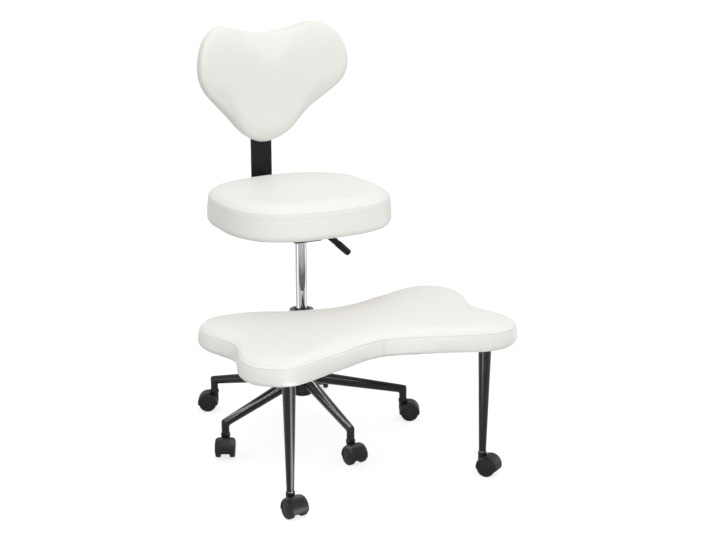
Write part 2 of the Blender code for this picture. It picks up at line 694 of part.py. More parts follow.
def add_seat(root):
    outline = superellipse(SEAT_WIDTH / 2, SEAT_DEPTH / 2, SEAT_POWER, SEAT_POINTS)
    board, pocket = board_and_pocket(outline, SEAT_BOARD_MARGIN, SEAT_BOARD)
    cushion = combined(seamed_cushion(outline, SEAT_SIDE, SEAT_CROWN), cut=[pocket])
    foot = (0, SEAT_SETBACK, SEAT_UNDERSIDE)
    piece("seat_board", board, "plywood", root, foot)
    piece("seat_cushion", cushion, "white_leatherette", root, foot)


def curved_back(outline, layers):
    """Rings of a back that is hollow towards the sitter: z is height, and depth grows forwards."""
    rings = []
    for layer in layers:
        rings.append([Vector((p.x, BACK_FACE - p.z - p.x ** 2 / (2 * BACK_BEND_RADIUS), p.y))
                      for p in ring(outline, *layer)])
    return loft(rings, split=True)


def curved_slab(outline, margin, start, end):
    """A curved board, drawn in from the outline by a margin, between two depths from the back's face."""
    shares = (0.1, 0.4, 0.7, 1)
    rear = [(share, margin * share, start) for share in shares]
    front = [(share, margin * share, end) for share in reversed(shares)]
    return curved_back(outline, rear + front)


def add_back(root):
    level = BAR_THICKNESS + MECHANISM_WALL + CLEARANCE
    bar_foot = MECHANISM_TOP - level
    bar_top = BACK_BOTTOM + BAR_OVERLAP
    near = BACK_FACE + CLEARANCE
    far = near + BAR_THICKNESS
    outer = BAR_BEND_RADIUS + BAR_THICKNESS
    corner = (near - BAR_BEND_RADIUS, bar_foot + outer)
    profile = [(BAR_INNER_END, bar_foot)] + arc(corner, outer, -90, 0, BAR_BEND_STEPS)
    profile += [(far, bar_top), (near, bar_top)]
    profile += arc(corner, BAR_BEND_RADIUS, 0, -90, BAR_BEND_STEPS)
    profile.append((BAR_INNER_END, bar_foot + BAR_THICKNESS))
    piece("back_bar", smooth(plate(profile, BAR_WIDTH, SIDEWAYS)), "black_powder_coat", root)

    middle = BACK_HEIGHT * BACK_MIDDLE
    half = [(x * BACK_WIDTH / 2, z * BACK_HEIGHT - middle) for x, z in BACK_OUTLINE]
    outline = curve_through(mirrored(half), BACK_POINTS)
    inner_shares = (0.3, 0.65)
    layers = [(share, 0, 0) for share in inner_shares] + edge_layers(BACK_REAR_EDGE)
    layers.append((1, 0, BACK_SIDE - BACK_EDGE))
    front_edge = edge_layers(BACK_EDGE, BACK_EDGE_STEPS)[:-1]
    layers += [(1, inset, BACK_SIDE - height) for share, inset, height in reversed(front_edge)]
    layers += crown_layers(BACK_SIDE, BACK_CROWN, BACK_EDGE, (0.8, 0.55, 0.2))
    cushion = curved_back(outline, layers)
    board = curved_slab(outline, BACK_BOARD_MARGIN, 0, BACK_BOARD)
    deep = BACK_BOARD + CLEARANCE
    cushion = combined(cushion, cut=[curved_slab(outline, BACK_BOARD_MARGIN - CLEARANCE, -deep, deep)])
    centre = (0, 0, BACK_BOTTOM + middle)
    piece("back_board", board, "plywood", root, centre)
    piece("back_cushion", cushion, "white_leatherette", root, centre)


def bracket_mesh():
    """A stepped flat bar from the column to the footrest's board, with a sleeve round the outer tube."""
    shelf = BUSH_SHELF + CLEARANCE
    seat = FOOTREST_UNDERSIDE - CLEARANCE
    thick = BRACKET_THICKNESS
    reach = FOOTREST_GAP + BRACKET_UNDER_BOARD
    profile = [(0, shelf), (-BRACKET_STEP_START, shelf), (-BRACKET_STEP_END, seat - thick),
               (-reach, seat - thick), (-reach, seat), (-BRACKET_STEP_END, seat),
               (-BRACKET_STEP_START, shelf + thick), (0, shelf + thick)]
    strap = plate(profile, BRACKET_WIDTH, SIDEWAYS)
    round_end = rod(BRACKET_WIDTH / 2, shelf, shelf + thick, COLUMN_SIDES)
    sleeve_bore = bore(TUBE_RADIUS, COLUMN_SIDES)
    sleeve = rod(sleeve_bore + BRACKET_SLEEVE_WALL, shelf - BRACKET_SLEEVE, shelf + thick / 2, COLUMN_SIDES)
    nose_hole = rod(bore(BUSH_NOSE_RADIUS, COLUMN_SIDES), shelf - thick, shelf + 2 * thick, COLUMN_SIDES)
    tube_hole = rod(sleeve_bore, shelf - 2 * BRACKET_SLEEVE, shelf, COLUMN_SIDES)
    return combined(strap, joined=[round_end, sleeve], cut=[tube_hole, nose_hole])


def add_footrest(root, caster):
    half_depth = FOOTREST_DEPTH / 2
    middle = -(FOOTREST_GAP + half_depth)
    half = [(x * FOOTREST_WIDTH / 2, -y * half_depth) for x, y in FOOTREST_OUTLINE]
    outline = curve_through(mirrored(half), FOOTREST_POINTS)
    board, pocket = board_and_pocket(outline, FOOTREST_BOARD_MARGIN, FOOTREST_BOARD)
    cushion = combined(seamed_cushion(outline, FOOTREST_SIDE, FOOTREST_CROWN), cut=[pocket])
    foot = (0, middle, FOOTREST_UNDERSIDE)
    piece("footrest_board", board, "plywood", root, foot)
    piece("footrest_cushion", cushion, "white_leatherette", root, foot)
    piece("footrest_bracket", bracket_mesh(), "black_powder_coat", root)

    leg_top = FOOTREST_UNDERSIDE - CLEARANCE
    socket = bore(STEM_RADIUS, LEG_SIDES)
    socket_top = CASTER_HEIGHT + STEM_REACH + CLEARANCE
    leg = turned([(0, leg_top), (LEG_PLATE_RADIUS, leg_top), (LEG_PLATE_RADIUS, leg_top - LEG_PLATE),
                  (LEG_TOP_RADIUS, leg_top - LEG_PLATE), (LEG_FOOT_RADIUS, CASTER_HEIGHT),
                  (socket, CASTER_HEIGHT), (socket, socket_top), (0, socket_top)], LEG_SIDES, solid=True)
    spread = FOOTREST_WIDTH / 2 - LEG_INSET_X
    leg_y = middle - half_depth + LEG_INSET_Y
    for side, x in (("left", spread), ("right", -spread)):
        place = (x, leg_y, 0)
        piece(f"footrest_leg_{side}", leg, "black_powder_coat", root, place)
        add_caster(f"footrest_caster_{side}", place, FOOTREST_HEADINGS_DEG[side], root, caster)


def main():
    root = empty("column_axis", (0, 0, 0))
    caster = caster_meshes()
    add_base(root, caster)
    add_column(root)
    add_mechanism(root)
    add_seat(root)
    add_back(root)
    add_footrest(root, caster)
    bpy.context.view_layer.update()
    points = [item.matrix_world @ vertex.co
              for item in PARTS.objects if item.type == "MESH" for vertex in item.data.vertices]
    for axis in (0, 1):
        reach = [point[axis] for point in points]
        root.location[axis] = -(min(reach) + max(reach)) / 2
    print("column axis at", tuple(round(value, 6) for value in root.location))


clear_scene()
PARTS = new_collection("cross_legged_office_chair")
CUTTERS = new_collection("cutters")
main()
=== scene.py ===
"""Cross-legged office chair: the finished surfaces round the solids of its frame.

Three cushions in white leatherette, a black powder-coated steel frame, a chromed gas cylinder and seven
moulded casters. Metres, +Z up, and the sitter faces -Y. Every piece is placed from the frame's own boxes.
"""

import json
from math import atan2, cos, pi, radians, sin

import bpy
import numpy as np
from bpy.props import FloatProperty, FloatVectorProperty, IntProperty, PointerProperty
from mathutils import Matrix, Vector


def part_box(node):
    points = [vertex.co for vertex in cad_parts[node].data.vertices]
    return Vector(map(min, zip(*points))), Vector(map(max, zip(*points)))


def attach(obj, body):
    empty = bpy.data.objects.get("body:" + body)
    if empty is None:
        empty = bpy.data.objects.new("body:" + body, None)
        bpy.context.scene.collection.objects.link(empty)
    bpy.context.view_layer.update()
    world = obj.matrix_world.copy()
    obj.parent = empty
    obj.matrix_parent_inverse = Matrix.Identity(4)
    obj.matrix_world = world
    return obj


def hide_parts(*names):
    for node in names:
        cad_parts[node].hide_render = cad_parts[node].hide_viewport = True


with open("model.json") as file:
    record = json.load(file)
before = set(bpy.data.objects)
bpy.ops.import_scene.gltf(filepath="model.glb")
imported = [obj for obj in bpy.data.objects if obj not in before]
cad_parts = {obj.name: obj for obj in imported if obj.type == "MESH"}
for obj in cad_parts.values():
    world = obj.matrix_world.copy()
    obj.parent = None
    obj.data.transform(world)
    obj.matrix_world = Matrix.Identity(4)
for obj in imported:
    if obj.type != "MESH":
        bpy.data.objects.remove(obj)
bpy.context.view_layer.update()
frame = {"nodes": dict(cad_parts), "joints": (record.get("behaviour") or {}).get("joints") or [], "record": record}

bl_info = {
    "name": "Cross-legged office chair",
    "version": (1, 0, 0),
    "blender": (4, 5, 0),
    "location": "3D View > Sidebar > Chair",
    "description": "Dresses the frame of a cross-legged office chair in its finished surfaces",
    "category": "Object",
}

# Camera that fits the photograph
SENSOR_WIDTH_MM = 36.0
CAMERA_LENS_MM = 75.92
CAMERA_BACK = 3.2229
CAMERA_LEFT = 1.5006
CAMERA_HEIGHT = 1.42668
CAMERA_TURN_DEG = 27.20986
CAMERA_DIP_DEG = 16.0228

CASTERS = [f"base_caster_{i}" for i in range(1, 6)] + ["footrest_caster_left", "footrest_caster_right"]
ARMS = [f"base_arm_{i}" for i in range(1, 6)]
LEGS = ["footrest_leg_left", "footrest_leg_right"]
SIDES = ("left", "right")
JOINTS = {joint["name"]: joint for joint in frame["joints"]}
BODY_OF = {node: body for body, nodes in frame["record"]["behaviour"]["bodies"].items() for node in nodes}


def linear(colour):
    """An sRGB hex colour as linear red, green and blue."""
    share = np.array([int(colour[i:i + 2], 16) for i in (1, 3, 5)]) / 255
    return tuple(np.where(share <= 0.04045, share / 12.92, ((share + 0.055) / 1.055) ** 2.4))


def corners(node):
    """Lowest and highest corner of a node's box."""
    return [np.array(corner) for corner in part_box(node)]


def middle(node):
    """Centre of a node's box."""
    low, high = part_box(node)
    return np.array((low + high) / 2)


def half_width(node):
    """Half the width of a node's box."""
    low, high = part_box(node)
    return (high[0] - low[0]) / 2


def levels(node):
    """Foot and top of a node's box."""
    return [corner[2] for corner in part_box(node)]


def pivot(joint):
    """The point that a joint turns about."""
    return np.array(JOINTS[joint]["pos_m"])


COLUMN = middle("outer_tube") * (1, 1, 0)
ABOUT_COLUMN = Matrix.Translation(Vector(COLUMN))


def length_of(name, text, default):
    return FloatProperty(name=name, description=text, default=default, unit="LENGTH", precision=4)


def colour_of(name, text, default):
    return FloatVectorProperty(name=name, description=text, default=linear(default), subtype="COLOR",
                               size=3)


class ChairSizes(bpy.types.PropertyGroup):
    """Sizes of the finish that the frame leaves open."""

    seam_depth: length_of("Seam depth", "How far a seam draws the leatherette in", 0.0006)
    seam_width: length_of("Seam width", "Half the width of a seam's groove", 0.0013)
    pucker: length_of("Pucker", "Height of the small gathers beside a seam", 0.00022)
    slack: length_of("Slack", "Height of the soft waves in the leatherette", 0.0005)
    puff: length_of("Puff", "Most that the filling may push a cushion's skin", 0.006)
    weld: length_of("Weld bead", "Radius of the weld beads", 0.0018)
    screw: length_of("Screw head", "Radius of the screw heads", 0.0045)
    sides: IntProperty(name="Sides", description="Sides of the wheels", default=64, min=16)


class ChairColours(bpy.types.PropertyGroup):
    """Colours of the finishes."""

    leatherette: colour_of("Leatherette", "Cover of the cushions", "#F2F1EC")
    # Painted shade: the seam colour darkens the leatherette in the grooves of seams, joins and stitch lines
    seam: colour_of("Seam", "Leatherette in the shade of a seam", "#E6E5E0")
    powder_coat: colour_of("Powder coat", "Painted steel of the frame", "#0E0E0F")
    nylon: colour_of("Nylon", "Moulded casters and grip", "#0D0D0D")
    chrome: colour_of("Chrome", "Plated gas cylinder", "#A8A9AB")
    steel: colour_of("Steel", "Zinc-plated stems, axles and screws", "#B6B8BB")
    plywood: colour_of("Plywood", "Birch boards under the cushions", "#C9A678")
    floor: colour_of("Floor", "Pale studio floor", "#B4B4B4")


def sizes():
    return bpy.context.scene.chair_sizes


def colours():
    return bpy.context.scene.chair_colours


# Surfaces as arrays of rings

SHARP_ANGLE = radians(38)
MOST_OF_SIDE = 0.49


def around(count):
    """Equal steps round a circle."""
    return np.arange(count) * 2 * pi / count


def refined(rows, factor, closed):
    """More rows between those given, on Catmull-Rom cubics through them; closed rows come round again."""
    if closed:
        before, start, end, after = (np.roll(rows, k, 0) for k in (1, 0, -1, -2))
    else:
        padded = np.concatenate([2 * rows[:1] - rows[1:2], rows, 2 * rows[-1:] - rows[-2:-1]])
        before, start, end, after = padded[:-3], padded[1:-2], padded[2:-1], padded[3:]
    share = (np.arange(factor) / factor).reshape(1, -1, *(1,) * (rows.ndim - 1))
    before, start, end, after = (part[:, None] for part in (before, start, end, after))
    fine = (2 * start + (end - before) * share + (2 * before - 5 * start + 4 * end - after) * share ** 2
            + (3 * start - before - 3 * end + after) * share ** 3) / 2
    fine = fine.reshape(-1, *rows.shape[1:])
    return fine if closed else np.concatenate([fine, rows[-1:]])


def bezier(first, corner, last, share):
    """The quadratic (1 - t)^2 first + 2 t (1 - t) corner + t^2 last."""
    return (1 - share) ** 2 * first + 2 * share * (1 - share) * corner + share ** 2 * last


def rounded(line, radius, steps):
    """An open line whose inner corners are rounded: each becomes a quadratic Bezier between two points on
    its sides, a radius away or at half the side where that is shorter."""
    line = np.array(line, float)
    spot, back, ahead = line[1:-1], line[:-2] - line[1:-1], line[2:] - line[1:-1]

    def towards(side):
        long = np.linalg.norm(side, axis=1, keepdims=True)
        return (spot + side * np.minimum(radius / long, MOST_OF_SIDE))[:, None]

    share = np.linspace(0, 1, steps)[None, :, None]
    bends = bezier(towards(back), spot[:, None], towards(ahead), share)
    return np.concatenate([line[:1], bends.reshape(-1, line.shape[1]), line[-1:]])


def turned(profile, sides, loop=False):
    """Rings of a turned shape: each (radius, height) of the profile goes round Z."""
    angle = around(sides)
    radius, height = np.array(profile, float).T
    rings = np.stack([radius[:, None] * np.cos(angle), radius[:, None] * np.sin(angle),
                      np.broadcast_to(height[:, None], (len(radius), sides))], -1)
    return np.concatenate([rings, rings[:1]]) if loop else rings


def swept(path, section, across, loop=False):
    """Rings of a section carried along a path. The section's (side, up) points may differ at each station;
    side starts from the direction across and stays square to the path. A loop's path comes round again."""
    path = np.array(path, float)
    ahead = np.roll(path, -1, 0) - np.roll(path, 1, 0) if loop else np.gradient(path, axis=0)
    ahead /= np.linalg.norm(ahead, axis=1, keepdims=True)
    side = np.broadcast_to(np.array(across, float), path.shape)
    side = side - ahead * (side * ahead).sum(1, keepdims=True)
    side /= np.linalg.norm(side, axis=1, keepdims=True)
    up = np.cross(side, ahead)
    section = np.broadcast_to(section, (len(path), *np.shape(section)[-2:]))
    rings = path[:, None] + section[..., :1] * side[:, None] + section[..., 1:] * up[:, None]
    return np.concatenate([rings, rings[:1]]) if loop else rings


def oval(half_across, half_along, sides, power=2.0):
    """A closed section |x/a|^n + |y/b|^n = 1."""
    across, along = np.cos(around(sides)), np.sin(around(sides))
    reach = (np.abs(across) ** power + np.abs(along) ** power) ** (-1 / power)
    return np.stack([half_across * reach * across, half_along * reach * along], -1)


def placed(rings, matrix):
    """Rings carried by a 4 x 4 matrix."""
    matrix = np.array(matrix)
    return rings @ matrix[:3, :3].T + matrix[:3, 3]


def skin(rings, loop=False):
    """Points and faces of a closed skin: each ring is joined to the next, and the end rings are closed by
    fans to their middle. A loop's last ring is its first, so it has no ends. The volume's sign turns the
    faces outwards."""
    if loop:
        rings = rings[:-1]
    rows, count, _ = rings.shape
    index = np.arange(rows * count).reshape(rows, count)
    near, far = (index, np.roll(index, -1, 0)) if loop else (index[:-1], index[1:])
    quads = np.stack([near, np.roll(near, -1, 1), np.roll(far, -1, 1), far], -1).reshape(-1, 4)
    points = rings.reshape(-1, 3)
    fans = np.zeros((0, 3), int)
    if not loop:
        points = np.concatenate([points, rings[:1].mean(1), rings[-1:].mean(1)])
        first = np.stack([np.roll(index[0], -1), index[0], np.full(count, rows * count)], -1)
        last = np.stack([index[-1], np.roll(index[-1], -1), np.full(count, rows * count + 1)], -1)
        fans = np.concatenate([first, last])
    triangles = points[np.concatenate([quads[:, :3], quads[:, [0, 2, 3]], fans])] - points.mean(0)
    if np.linalg.det(triangles).sum() < 0:
        quads, fans = quads[:, ::-1], fans[:, ::-1]
    return points, quads, fans


def lathe(profile, place, sides, loop=False):
    """Skin of a turned shape in its place."""
    return skin(placed(turned(profile, sides, loop), place), loop)


def mesh_of(name, skins):
    """One mesh from several closed skins, smooth but for its sharp edges."""
    points, faces, start = [], [], 0
    for spots, quads, fans in skins:
        points.append(spots)
        faces += (quads + start).tolist() + (fans + start).tolist()
        start += len(spots)
    mesh = bpy.data.meshes.new(name)
    mesh.from_pydata(np.concatenate(points).tolist(), [], faces)
    mesh.shade_smooth()
    mesh.set_sharp_from_angle(angle=SHARP_ANGLE)
    mesh.update()
    return mesh


def piece(name, skins, finish, body, nodes=()):
    """A finished piece that rides on a body and stands for the nodes given. Its slot is its finish."""
    item = bpy.data.objects.new(name, mesh_of(name, skins))
    bpy.context.scene.collection.objects.link(item)
    item.data.materials.append(bpy.data.materials[finish])
    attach(item, body)
    if nodes:
        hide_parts(*nodes)
    return item


def dress(node, skins, finish):
    """A finished piece that stands for one node, on that node's body."""
    piece(f"{node}_finish", skins, finish, BODY_OF[node], [node])


# Finishes

BIRCH_PALE, BIRCH_DARK = "#D8BA90", "#A97F4F"


def add_node(tree, kind, values=None, links=None, **settings):
    """Adds a node with its settings, the values of its sockets and the links into them."""
    made = tree.nodes.new(kind)
    for name, value in settings.items():
        setattr(made, name, value)
    for socket, value in (values or {}).items():
        made.inputs[socket].default_value = value
    for socket, source in (links or {}).items():
        tree.links.new(source, made.inputs[socket])
    return made


def start_finish(name, colour, **values):
    """A new material with the values of its shader's sockets: its tree and its shader."""
    finish = bpy.data.materials.new(name)
    finish.use_nodes = True
    shader = finish.node_tree.nodes["Principled BSDF"]
    shader.inputs["Base Color"].default_value = (*colour, 1)
    for socket, value in values.items():
        shader.inputs[socket.replace("_", " ").title().replace("Ior", "IOR")].default_value = value
    return finish.node_tree, shader


def per_metre(millimetres):
    """Scale of a pattern whose features are this many millimetres apart."""
    return 1000 / millimetres


def object_place(tree):
    """The coordinates that patterns read."""
    return add_node(tree, "ShaderNodeTexCoord").outputs["Object"]


def noise(tree, detail, *millimetres):
    """Noise with its features so far apart, or so far apart along X, Y and Z."""
    place, scale = object_place(tree), per_metre(millimetres[0])
    if len(millimetres) > 1:
        stretch = {"Scale": [per_metre(each) for each in millimetres]}
        place, scale = add_node(tree, "ShaderNodeMapping", stretch, {"Vector": place}).outputs[0], 1.0
    made = add_node(tree, "ShaderNodeTexNoise", {"Scale": scale, "Detail": detail}, {"Vector": place})
    return made.outputs[0]


def ramp_between(tree, source, low, high):
    """A pattern's 0 to 1 stretched between two values."""
    limits = {"To Min": low, "To Max": high}
    return add_node(tree, "ShaderNodeMapRange", limits, {"Value": source}).outputs[0]


def vary_roughness(tree, shader, pattern, low, high):
    tree.links.new(ramp_between(tree, pattern, low, high), shader.inputs["Roughness"])


def vary_colour(tree, shader, pattern, first, second):
    mix = add_node(tree, "ShaderNodeMix", {6: (*first, 1), 7: (*second, 1)}, {0: pattern}, data_type="RGBA")
    tree.links.new(mix.outputs[2], shader.inputs["Base Color"])


def add_bump(tree, shader, pattern, strength, distance):
    values = {"Strength": strength, "Distance": distance}
    bump = add_node(tree, "ShaderNodeBump", values, {"Height": pattern})
    tree.links.new(bump.outputs[0], shader.inputs["Normal"])


def white_leatherette():
    """Embossed polyurethane on cloth: a soft white sheen, a fine pebble, and painted shade that greys it where a
    seam draws it in. The real pebble is under 1 mm. It is drawn at 2.4 mm, as coarse as it needs to show."""
    tree, shader = start_finish("white_leatherette", colours().leatherette, roughness=0.5, ior=1.46)
    pebble = add_node(tree, "ShaderNodeTexVoronoi", {"Scale": per_metre(2.4)},
                      {"Vector": object_place(tree)}, feature="SMOOTH_F1")
    cloud = noise(tree, 3.0, 45)
    # The seam attribute adds painted shade in the seam grooves to the random tone of the cloud, towards the seam
    # colour
    seam = add_node(tree, "ShaderNodeAttribute", attribute_name="seam").outputs["Fac"]
    shade = ramp_between(tree, cloud, 0.0, 0.10)
    drawn = add_node(tree, "ShaderNodeMath", None, {0: shade, 1: seam}, operation="ADD", use_clamp=True)
    vary_colour(tree, shader, drawn.outputs[0], colours().leatherette, colours().seam)
    vary_roughness(tree, shader, cloud, 0.42, 0.58)
    add_bump(tree, shader, pebble.outputs["Distance"], 0.12, 0.0004)


def black_powder_coat():
    """Baked powder paint on steel: satin black with a faint orange peel, drawn at 3 mm so that it shows."""
    tree, shader = start_finish("black_powder_coat", colours().powder_coat, roughness=0.24, ior=1.33)
    vary_roughness(tree, shader, noise(tree, 4.0, 60), 0.19, 0.29)
    add_bump(tree, shader, noise(tree, 2.0, 3), 0.012, 0.0003)


def chrome():
    """Chromium plate on ground steel: a clear mirror with faint rings of grinding, drawn 4 mm apart."""
    tree, shader = start_finish("chrome", colours().chrome, roughness=0.03, metallic=1.0)
    vary_roughness(tree, shader, noise(tree, 2.0, 250, 250, 4), 0.02, 0.045)


def black_nylon():
    """Injection-moulded nylon: dull black with a spark-eroded grain, drawn at 1.6 mm so that it shows."""
    tree, shader = start_finish("black_nylon", colours().nylon, roughness=0.45, ior=1.32)
    vary_roughness(tree, shader, noise(tree, 3.0, 25), 0.42, 0.6)
    add_bump(tree, shader, noise(tree, 2.0, 1.6), 0.1, 0.0003)


def bright_steel():
    """Zinc-plated steel: a grey half-gloss with fine turning marks, drawn 1.5 mm apart."""
    tree, shader = start_finish("bright_steel", colours().steel, roughness=0.3, metallic=1.0)
    vary_roughness(tree, shader, noise(tree, 3.0, 1.5), 0.24, 0.38)


def plywood():
    """Rotary-cut birch: pale tan with long darker streaks 12 mm apart along the board."""
    tree, shader = start_finish("plywood", colours().plywood, roughness=0.7, ior=1.5)
    streak = noise(tree, 5.0, 120, 12, 12)
    vary_colour(tree, shader, streak, linear(BIRCH_PALE), linear(BIRCH_DARK))
    vary_roughness(tree, shader, streak, 0.6, 0.8)


FINISHES = (white_leatherette, black_powder_coat, chrome, black_nylon, bright_steel, plywood)


class CHAIR_OT_finishes(bpy.types.Operator):
    """Makes the finishes and gives one to each node of the frame that stays in sight."""

    bl_idname = "chair.finishes"
    bl_label = "Finishes"

    def execute(self, context):
        for make in FINISHES:
            old = bpy.data.materials.get(make.__name__)
            if old:
                old.name = f"plain_{old.name}"
            make()
        for part in frame["record"]["subparts"]:
            item = frame["nodes"][part["node"]]
            item.data.materials.clear()
            item.data.materials.append(bpy.data.materials[part["material_slot"]])
        # The rear of the back board shows, covered like the cushion
        frame["nodes"]["back_board"].data.materials[0] = bpy.data.materials["white_leatherette"]
        return {"FINISHED"}


# Cushions

COLUMNS, FINER, CURVE_STEPS = 112, 4, 40
CLOTH = {"quality": 6, "use_pressure": True, "uniform_pressure_force": 4.0, "bending_stiffness": 2.0}
SIM_FRAMES, PUSH_WAVES = 20, 10
SEAM_INSET = 0.0045
UNDER_LIFT = 0.003
# Insets past the foot's round and shares of the lift where the underside comes up to that round
UNDER_EDGE = ((0.026, 0.85), (0.014, 0.5), (0.006, 0.15))
BOXED_UNDER_SHARES = (0.05, 0.35, 0.65, 0.84)
BACK_UNDER_SHARES = (0.05, 0.3, 0.55, 0.7)
UNDER_ROWS = len(BOXED_UNDER_SHARES) + len(UNDER_EDGE)
ROUND_ROWS, WALL_ROWS, CROWN_ROWS, DOME_ROWS = 6, 7, 7, 11
MIDDLE_SHARE = 0.02
# Size of the oval that a shrunk outline goes over to, and the part of the shrinking that this takes
OVAL_SHARE, OVAL_EASE = 0.85, 0.9
FIRST_DRAW_IN, CROWN_DRAW_IN = 0.001, 0.003
CROWN_SLOPE = radians(8)
SEAT_FOOT, SEAT_SEAM, SEAT_SHOULDER = 0.018, 0.068, 0.014
SEAT_POWER = 2.7
FOOTREST_FOOT, FOOTREST_SEAM, FOOTREST_SHOULDER = 0.013, 0.040, 0.010
FOOTREST_BOARD_INSET = 0.024
BACK_SIDE, BACK_SHOULDER, BACK_DEPTH = 0.028, 0.018, 0.060
BACK_REAR_EDGE = 0.018
BACK_SEAM_ROW = 2
BACK_MIDDLE = 0.6
BACK_BEND_RADIUS = 0.320

# Seams: lip and join in seam widths, depths as shares of the seam's own, the rest in metres
LIP_AWAY, LIP_WIDTH, LIP_HEIGHT = 2.6, 1.6, 0.28
GATHER_LENGTH, GATHER_DRIFT, GATHER_REACH = 0.0125, 0.083, 0.008
JOIN_WIDTH, JOIN_DEPTH, JOIN_SIDE = 0.8, 0.8, 0.02
BAND_TOP_FADE, BAND_FOOT_FADE = 0.003, 0.006
TWIN_STITCH, TWIN_DEPTH = 0.012, 0.45
SLACK_FADE = 0.02
WAVES, SHORTEST_WAVE, LONGEST_WAVE = 7, 0.06, 0.15

# Half outlines as shares of half the width and of the depth or height, mirrored about x = 0
FOOTREST_OUTLINE = ((0, 0.63), (0.42, 0.82), (0.76, 1), (0.955, 0.84), (1, 0.52), (0.92, 0),
                    (1, -0.52), (0.955, -0.84), (0.78, -1), (0.42, -0.83), (0, -0.68))
BACK_OUTLINE = ((0, 0), (0.30, 0.068), (0.60, 0.28), (0.93, 0.50), (1, 0.70), (0.90, 0.90),
                (0.643, 1), (0.30, 0.95), (0, 0.915))


def whole_outline(half, low, high):
    """A half outline and its mirror image as one smooth closed curve that fills the box from low to high,
    cut into equal steps along its length."""
    half = np.array(half, float)
    curve = refined(np.concatenate([half, half[-2:0:-1] * (-1, 1)]), CURVE_STEPS, True)
    curve = np.concatenate([curve, curve[:1]])
    travelled = np.concatenate([[0], np.cumsum(np.linalg.norm(np.diff(curve, axis=0), axis=1))])
    wanted = np.arange(COLUMNS) / COLUMNS * travelled[-1]
    curve = np.stack([np.interp(wanted, travelled, axis) for axis in curve.T], -1)
    least, most = curve.min(0), curve.max(0)
    return low + (curve - least) / (most - least) * (high - low)


def shrunk(outline, rows):
    """Rings of an outline: a row's share shrinks it about its centre, its inset draws it in by a length and
    its height lifts it. With a smaller share the outline goes over to an oval like it."""
    share, inset, height = np.array(rows, float).T[..., None]
    reach = np.linalg.norm(outline, axis=1)
    way = outline / reach[:, None]
    calm = OVAL_SHARE / np.linalg.norm(way / (np.abs(outline).mean(0) * pi / 2), axis=1)
    ease = np.clip((1 - share) / OVAL_EASE, 0, 1)
    radius = share * (reach + ease ** 2 * (3 - 2 * ease) * (calm - reach) - inset)
    return np.concatenate([radius[..., None] * way, np.broadcast_to(height, radius.shape)[..., None]], -1)


def quarter(radius):
    """A quarter round from flat to upright, as rows of share 1."""
    angle = np.linspace(0, pi / 2, ROUND_ROWS)
    return np.stack([np.ones(ROUND_ROWS), radius * (1 - np.sin(angle)), radius * (1 - np.cos(angle))], -1)


def underside(edge, shares):
    """Rows of a flat underside, from its middle to the round of its edge."""
    return [*((share, edge * share, UNDER_LIFT) for share in shares),
            *((1, edge + inset, UNDER_LIFT * lift) for inset, lift in UNDER_EDGE)]


def crown(foot, inset, shoulder, top):
    """A top with a round of the shoulder's radius that stops short of flat, and then a dome of 1 - share^2
    up to the height of its middle."""
    angle = np.linspace(0, pi / 2 - CROWN_SLOPE, CROWN_ROWS + 1)[1:]
    edge = np.stack([np.ones(CROWN_ROWS), inset + shoulder * (1 - np.cos(angle)),
                     foot + shoulder * np.sin(angle)], -1)
    share = np.linspace(1, MIDDLE_SHARE, DOME_ROWS + 1)[1:]
    inset, foot = edge[-1, 1:]
    dome = np.stack([share, inset * share, foot + (top - foot) * (1 - share ** 2)], -1)
    return np.concatenate([edge, dome])


def puffed(rings, held):
    """The rings after the filling has pushed the skin out: cloth under pressure for some steps, with the
    held rows pinned. The push p is eased to cap * tanh(p / cap), and only its slow waves round each ring
    stay."""
    scene = bpy.context.scene
    item = bpy.data.objects.new("filling", mesh_of("filling", [skin(rings)]))
    scene.collection.objects.link(item)
    rows, count, _ = rings.shape
    spots = (np.array(held)[:, None] * count + np.arange(count)).ravel()
    pins = item.vertex_groups.new(name="pins")
    pins.add([*spots.tolist(), rows * count], 1.0, "REPLACE")
    cloth = item.modifiers.new("filling", "CLOTH")
    for setting, value in CLOTH.items():
        setattr(cloth.settings, setting, value)
    cloth.settings.vertex_group_mass = pins.name
    cloth.settings.effector_weights.gravity = 0
    cloth.point_cache.frame_start = 1
    cloth.point_cache.frame_end = SIM_FRAMES
    for number in range(1, SIM_FRAMES + 1):
        scene.frame_set(number)
    pushed = np.empty(len(item.data.vertices) * 3, np.float32)
    item.evaluated_get(bpy.context.evaluated_depsgraph_get()).data.vertices.foreach_get("co", pushed)
    bpy.data.objects.remove(item, do_unlink=True)
    scene.frame_set(1)
    move = pushed[:rings.size].reshape(rings.shape) - rings
    long = np.linalg.norm(move, axis=-1, keepdims=True) + 1e-9
    waves = np.fft.rfft(move / long * sizes().puff * np.tanh(long / sizes().puff), axis=1)
    waves[:, PUSH_WAVES:] = 0
    return rings + np.fft.irfft(waves, count, axis=1)


def outward(rings):
    """Unit normals of a grid of rings, away from its middle."""
    along = np.roll(rings, -1, 1) - np.roll(rings, 1, 1)
    normal = np.cross(along, np.gradient(rings, axis=0))
    normal /= np.linalg.norm(normal, axis=-1, keepdims=True) + 1e-12
    away = (normal * (rings - rings.mean((0, 1)))).sum(-1)
    return normal if away.sum() > 0 else -normal


def soft_waves(points, seed):
    """Slow waves of slack cloth, from about -1 to 1: a sum of sines in seeded directions."""
    draw = np.random.default_rng(seed)
    ways = draw.normal(size=(WAVES, 3))
    ways *= (2 * pi / draw.uniform(SHORTEST_WAVE, LONGEST_WAVE, WAVES)[:, None]
             / np.linalg.norm(ways, axis=1, keepdims=True))
    return np.sin(points @ ways.T + draw.uniform(0, 2 * pi, WAVES)).sum(-1) / 3


def bell(distance, width):
    """A groove's fall-off, exp(-(d/w)^2)."""
    return np.exp(-(distance / width) ** 2)


